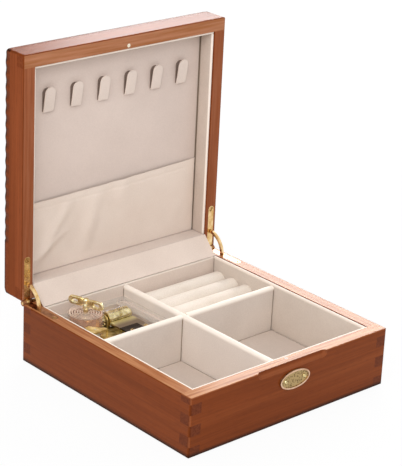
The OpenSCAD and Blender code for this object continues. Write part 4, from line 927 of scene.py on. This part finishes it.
# each fold runs between two points, in shares of the width and height, and stands some millimetres high
folds = ((0.03, 0.05, 0.24, 0.92, 2.7), (0.05, 0.18, 0.20, 0.50, 1.7), (0.34, 0.2, 0.40, 0.95, 2.3),
         (0.13, 0.5, 0.15, 1.0, 1.2), (0.54, 0.72, 0.56, 1.0, 0.8),
         (0.62, 0.5, 0.55, 0.97, 0.35), (0.86, 0.1, 0.95, 0.7, 0.35))
shape = bmesh.new()
bmesh.ops.create_grid(shape, x_segments=150, y_segments=90, size=0.5)
for v in shape.verts:
    u, t = v.co.x + 0.5, v.co.y + 0.5
    off = lift + belly * math.sin(math.pi * t * 0.62) * max(0, math.sin(math.pi * u)) ** 0.3
    off -= stitch_d * math.exp(-(((1 - t) * pocket_h - hem_w) / stitch_w) ** 2)
    off += gather_d * t * (0.5 + 0.5 * math.cos(2 * math.pi * gathers * u)) * math.sin(math.pi * u)
    for u0, t0, u1, t1, strength in folds:
        share = max(0, min(1, (t - t0) / (t1 - t0)))
        across = (u - u0 - (u1 - u0) * share) / fold_w
        fade = math.sin(math.pi * min(1, max(0, (t - t0 + 0.1) / (t1 - t0 + 0.2))))
        off += strength * mm * math.exp(-across ** 2) * fade
    v.co = Vector(((2 * u - 1) * pocket_x, pocket_y - t * (pocket_h + hem_tilt * (u - 0.5)), panel_z - off))
bmesh.ops.recalc_face_normals(shape, faces=shape.faces)
bmesh.ops.solidify(shape, geom=shape.faces[:], thickness=pocket_t)
bmesh.ops.recalc_face_normals(shape, faces=shape.faces)
poplin = flannel("silky_poplin", "#ddccbf", "#e9dace", 0.6)
pocket = fit_open(shape, "elastic_pocket", "soft_cloth", poplin, "lid_pocket")

# Hinge strip: a band of flannel glued to the back linings of the base and the lid, to hide the joint.
# It slants across the corner, as it lies with the lid up.
strip_x = wood_x - 0.4 * mm
start = Vector((0, in_y + 0.1 * mm, hinge_z - 0.7 * mm))
end = Vector((0, hinge_y + 0.6 * mm, hinge_z + hinge_y - in_y - 0.2 * mm))
sag, strip_t = 0.5 * mm, 0.7 * mm
across = (end - start).normalized().cross(Vector((1, 0, 0)))
shape = bmesh.new()
bmesh.ops.create_grid(shape, x_segments=60, y_segments=16, size=0.5)
for v in shape.verts:
    t = v.co.y + 0.5
    ripple = 0.15 * mm * noise.noise((v.co.x * 9, t * 2, 3))
    point = start.lerp(end, t) + across * (sag + ripple) * math.sin(math.pi * t)
    v.co = Vector((v.co.x * 2 * strip_x, point.y, point.z))
bmesh.ops.recalc_face_normals(shape, faces=shape.faces)
bmesh.ops.solidify(shape, geom=shape.faces[:], thickness=strip_t)
bmesh.ops.recalc_face_normals(shape, faces=shape.faces)
# The hinge strip's flannel is a lighter copy, painted light.
lit_strip_flannel = flannel("lit_strip_flannel", "#dac9bd", "#e5d5c9", 0.9)
strip = fit(shape, "joint_strip", None, "soft_cloth", lit_strip_flannel, "hinge_strip")
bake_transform(strip)


# Studio: a white paper floor that keeps a soft shadow, white surroundings and four soft lamps.
# The floor and the surroundings show white to the camera and in gloss, and light the box evenly.
def seen_white(tree):
    """1 for rays from the camera and from gloss or clear plastic, 0 for those that light the box."""
    rays = add(tree, "LightPath").outputs
    seen = rays["Is Camera Ray"]
    for kind in ("Is Glossy Ray", "Is Transmission Ray"):
        seen = add(tree, "Math", {0: seen, 1: rays[kind]}, operation="MAXIMUM")
    return seen


shape = bmesh.new()
bmesh.ops.create_grid(shape, x_segments=1, y_segments=1, size=6)
floor_mesh = bpy.data.meshes.new("floor")
shape.to_mesh(floor_mesh)
shape.free()
floor = bpy.data.objects.new("floor", floor_mesh)
bpy.context.scene.collection.objects.link(floor)
material, tree, place = new_finish("white_paper")
share = add(tree, "Math", {0: seen_white(tree), 1: 0.94}, operation="MULTIPLY")
paper = add(tree, "BsdfDiffuse", {"Color": colour("#e8e8e8")})
glow = add(tree, "Emission", {"Color": colour("#ffffff"), "Strength": 1.0})
show(tree, add(tree, "MixShader", {0: share, 1: paper, 2: glow}))
wear(material, floor)

world = bpy.data.worlds.new("studio")
bpy.context.scene.world = world
world.use_nodes = True
tree = world.node_tree
tree.nodes.clear()
ambient = 0.66
strength = add(tree, "MapRange", {0: seen_white(tree), 3: ambient, 4: 1.0})
sky = add(tree, "Background", {0: colour("#ffffff"), 1: strength})
tree.links.new(sky.outputs[0], add(tree, "OutputWorld").inputs[0])


def softbox(name, place, target, width, height, watts):
    """An area lamp aimed at a point."""
    lamp = bpy.data.objects.new(name, bpy.data.lights.new(name, "AREA"))
    lamp.data.shape = "RECTANGLE"
    lamp.data.energy = watts
    lamp.data.size = width
    lamp.data.size_y = height
    lamp.location = place
    lamp.rotation_euler = (Vector(target) - Vector(place)).to_track_quat("-Z", "Y").to_euler()
    bpy.context.scene.collection.objects.link(lamp)


softbox("top_softbox", (-0.2, -0.2, 1.6), (0, 0, 0.1), 1.2, 1.2, 2.5)
softbox("front_softbox", (-1.0, -1.5, 1.4), (0, 0, 0.1), 1.2, 1.2, 10)
softbox("left_softbox", (-0.72, -0.3, 0.75), (0, 0, 0.1), 0.6, 0.5, 3.2)
softbox("back_softbox", (1.52, 0.92, 0.88), (0, 0, 0.05), 1.7, 0.5, 36)
bpy.context.scene.view_settings.view_transform = "Standard"
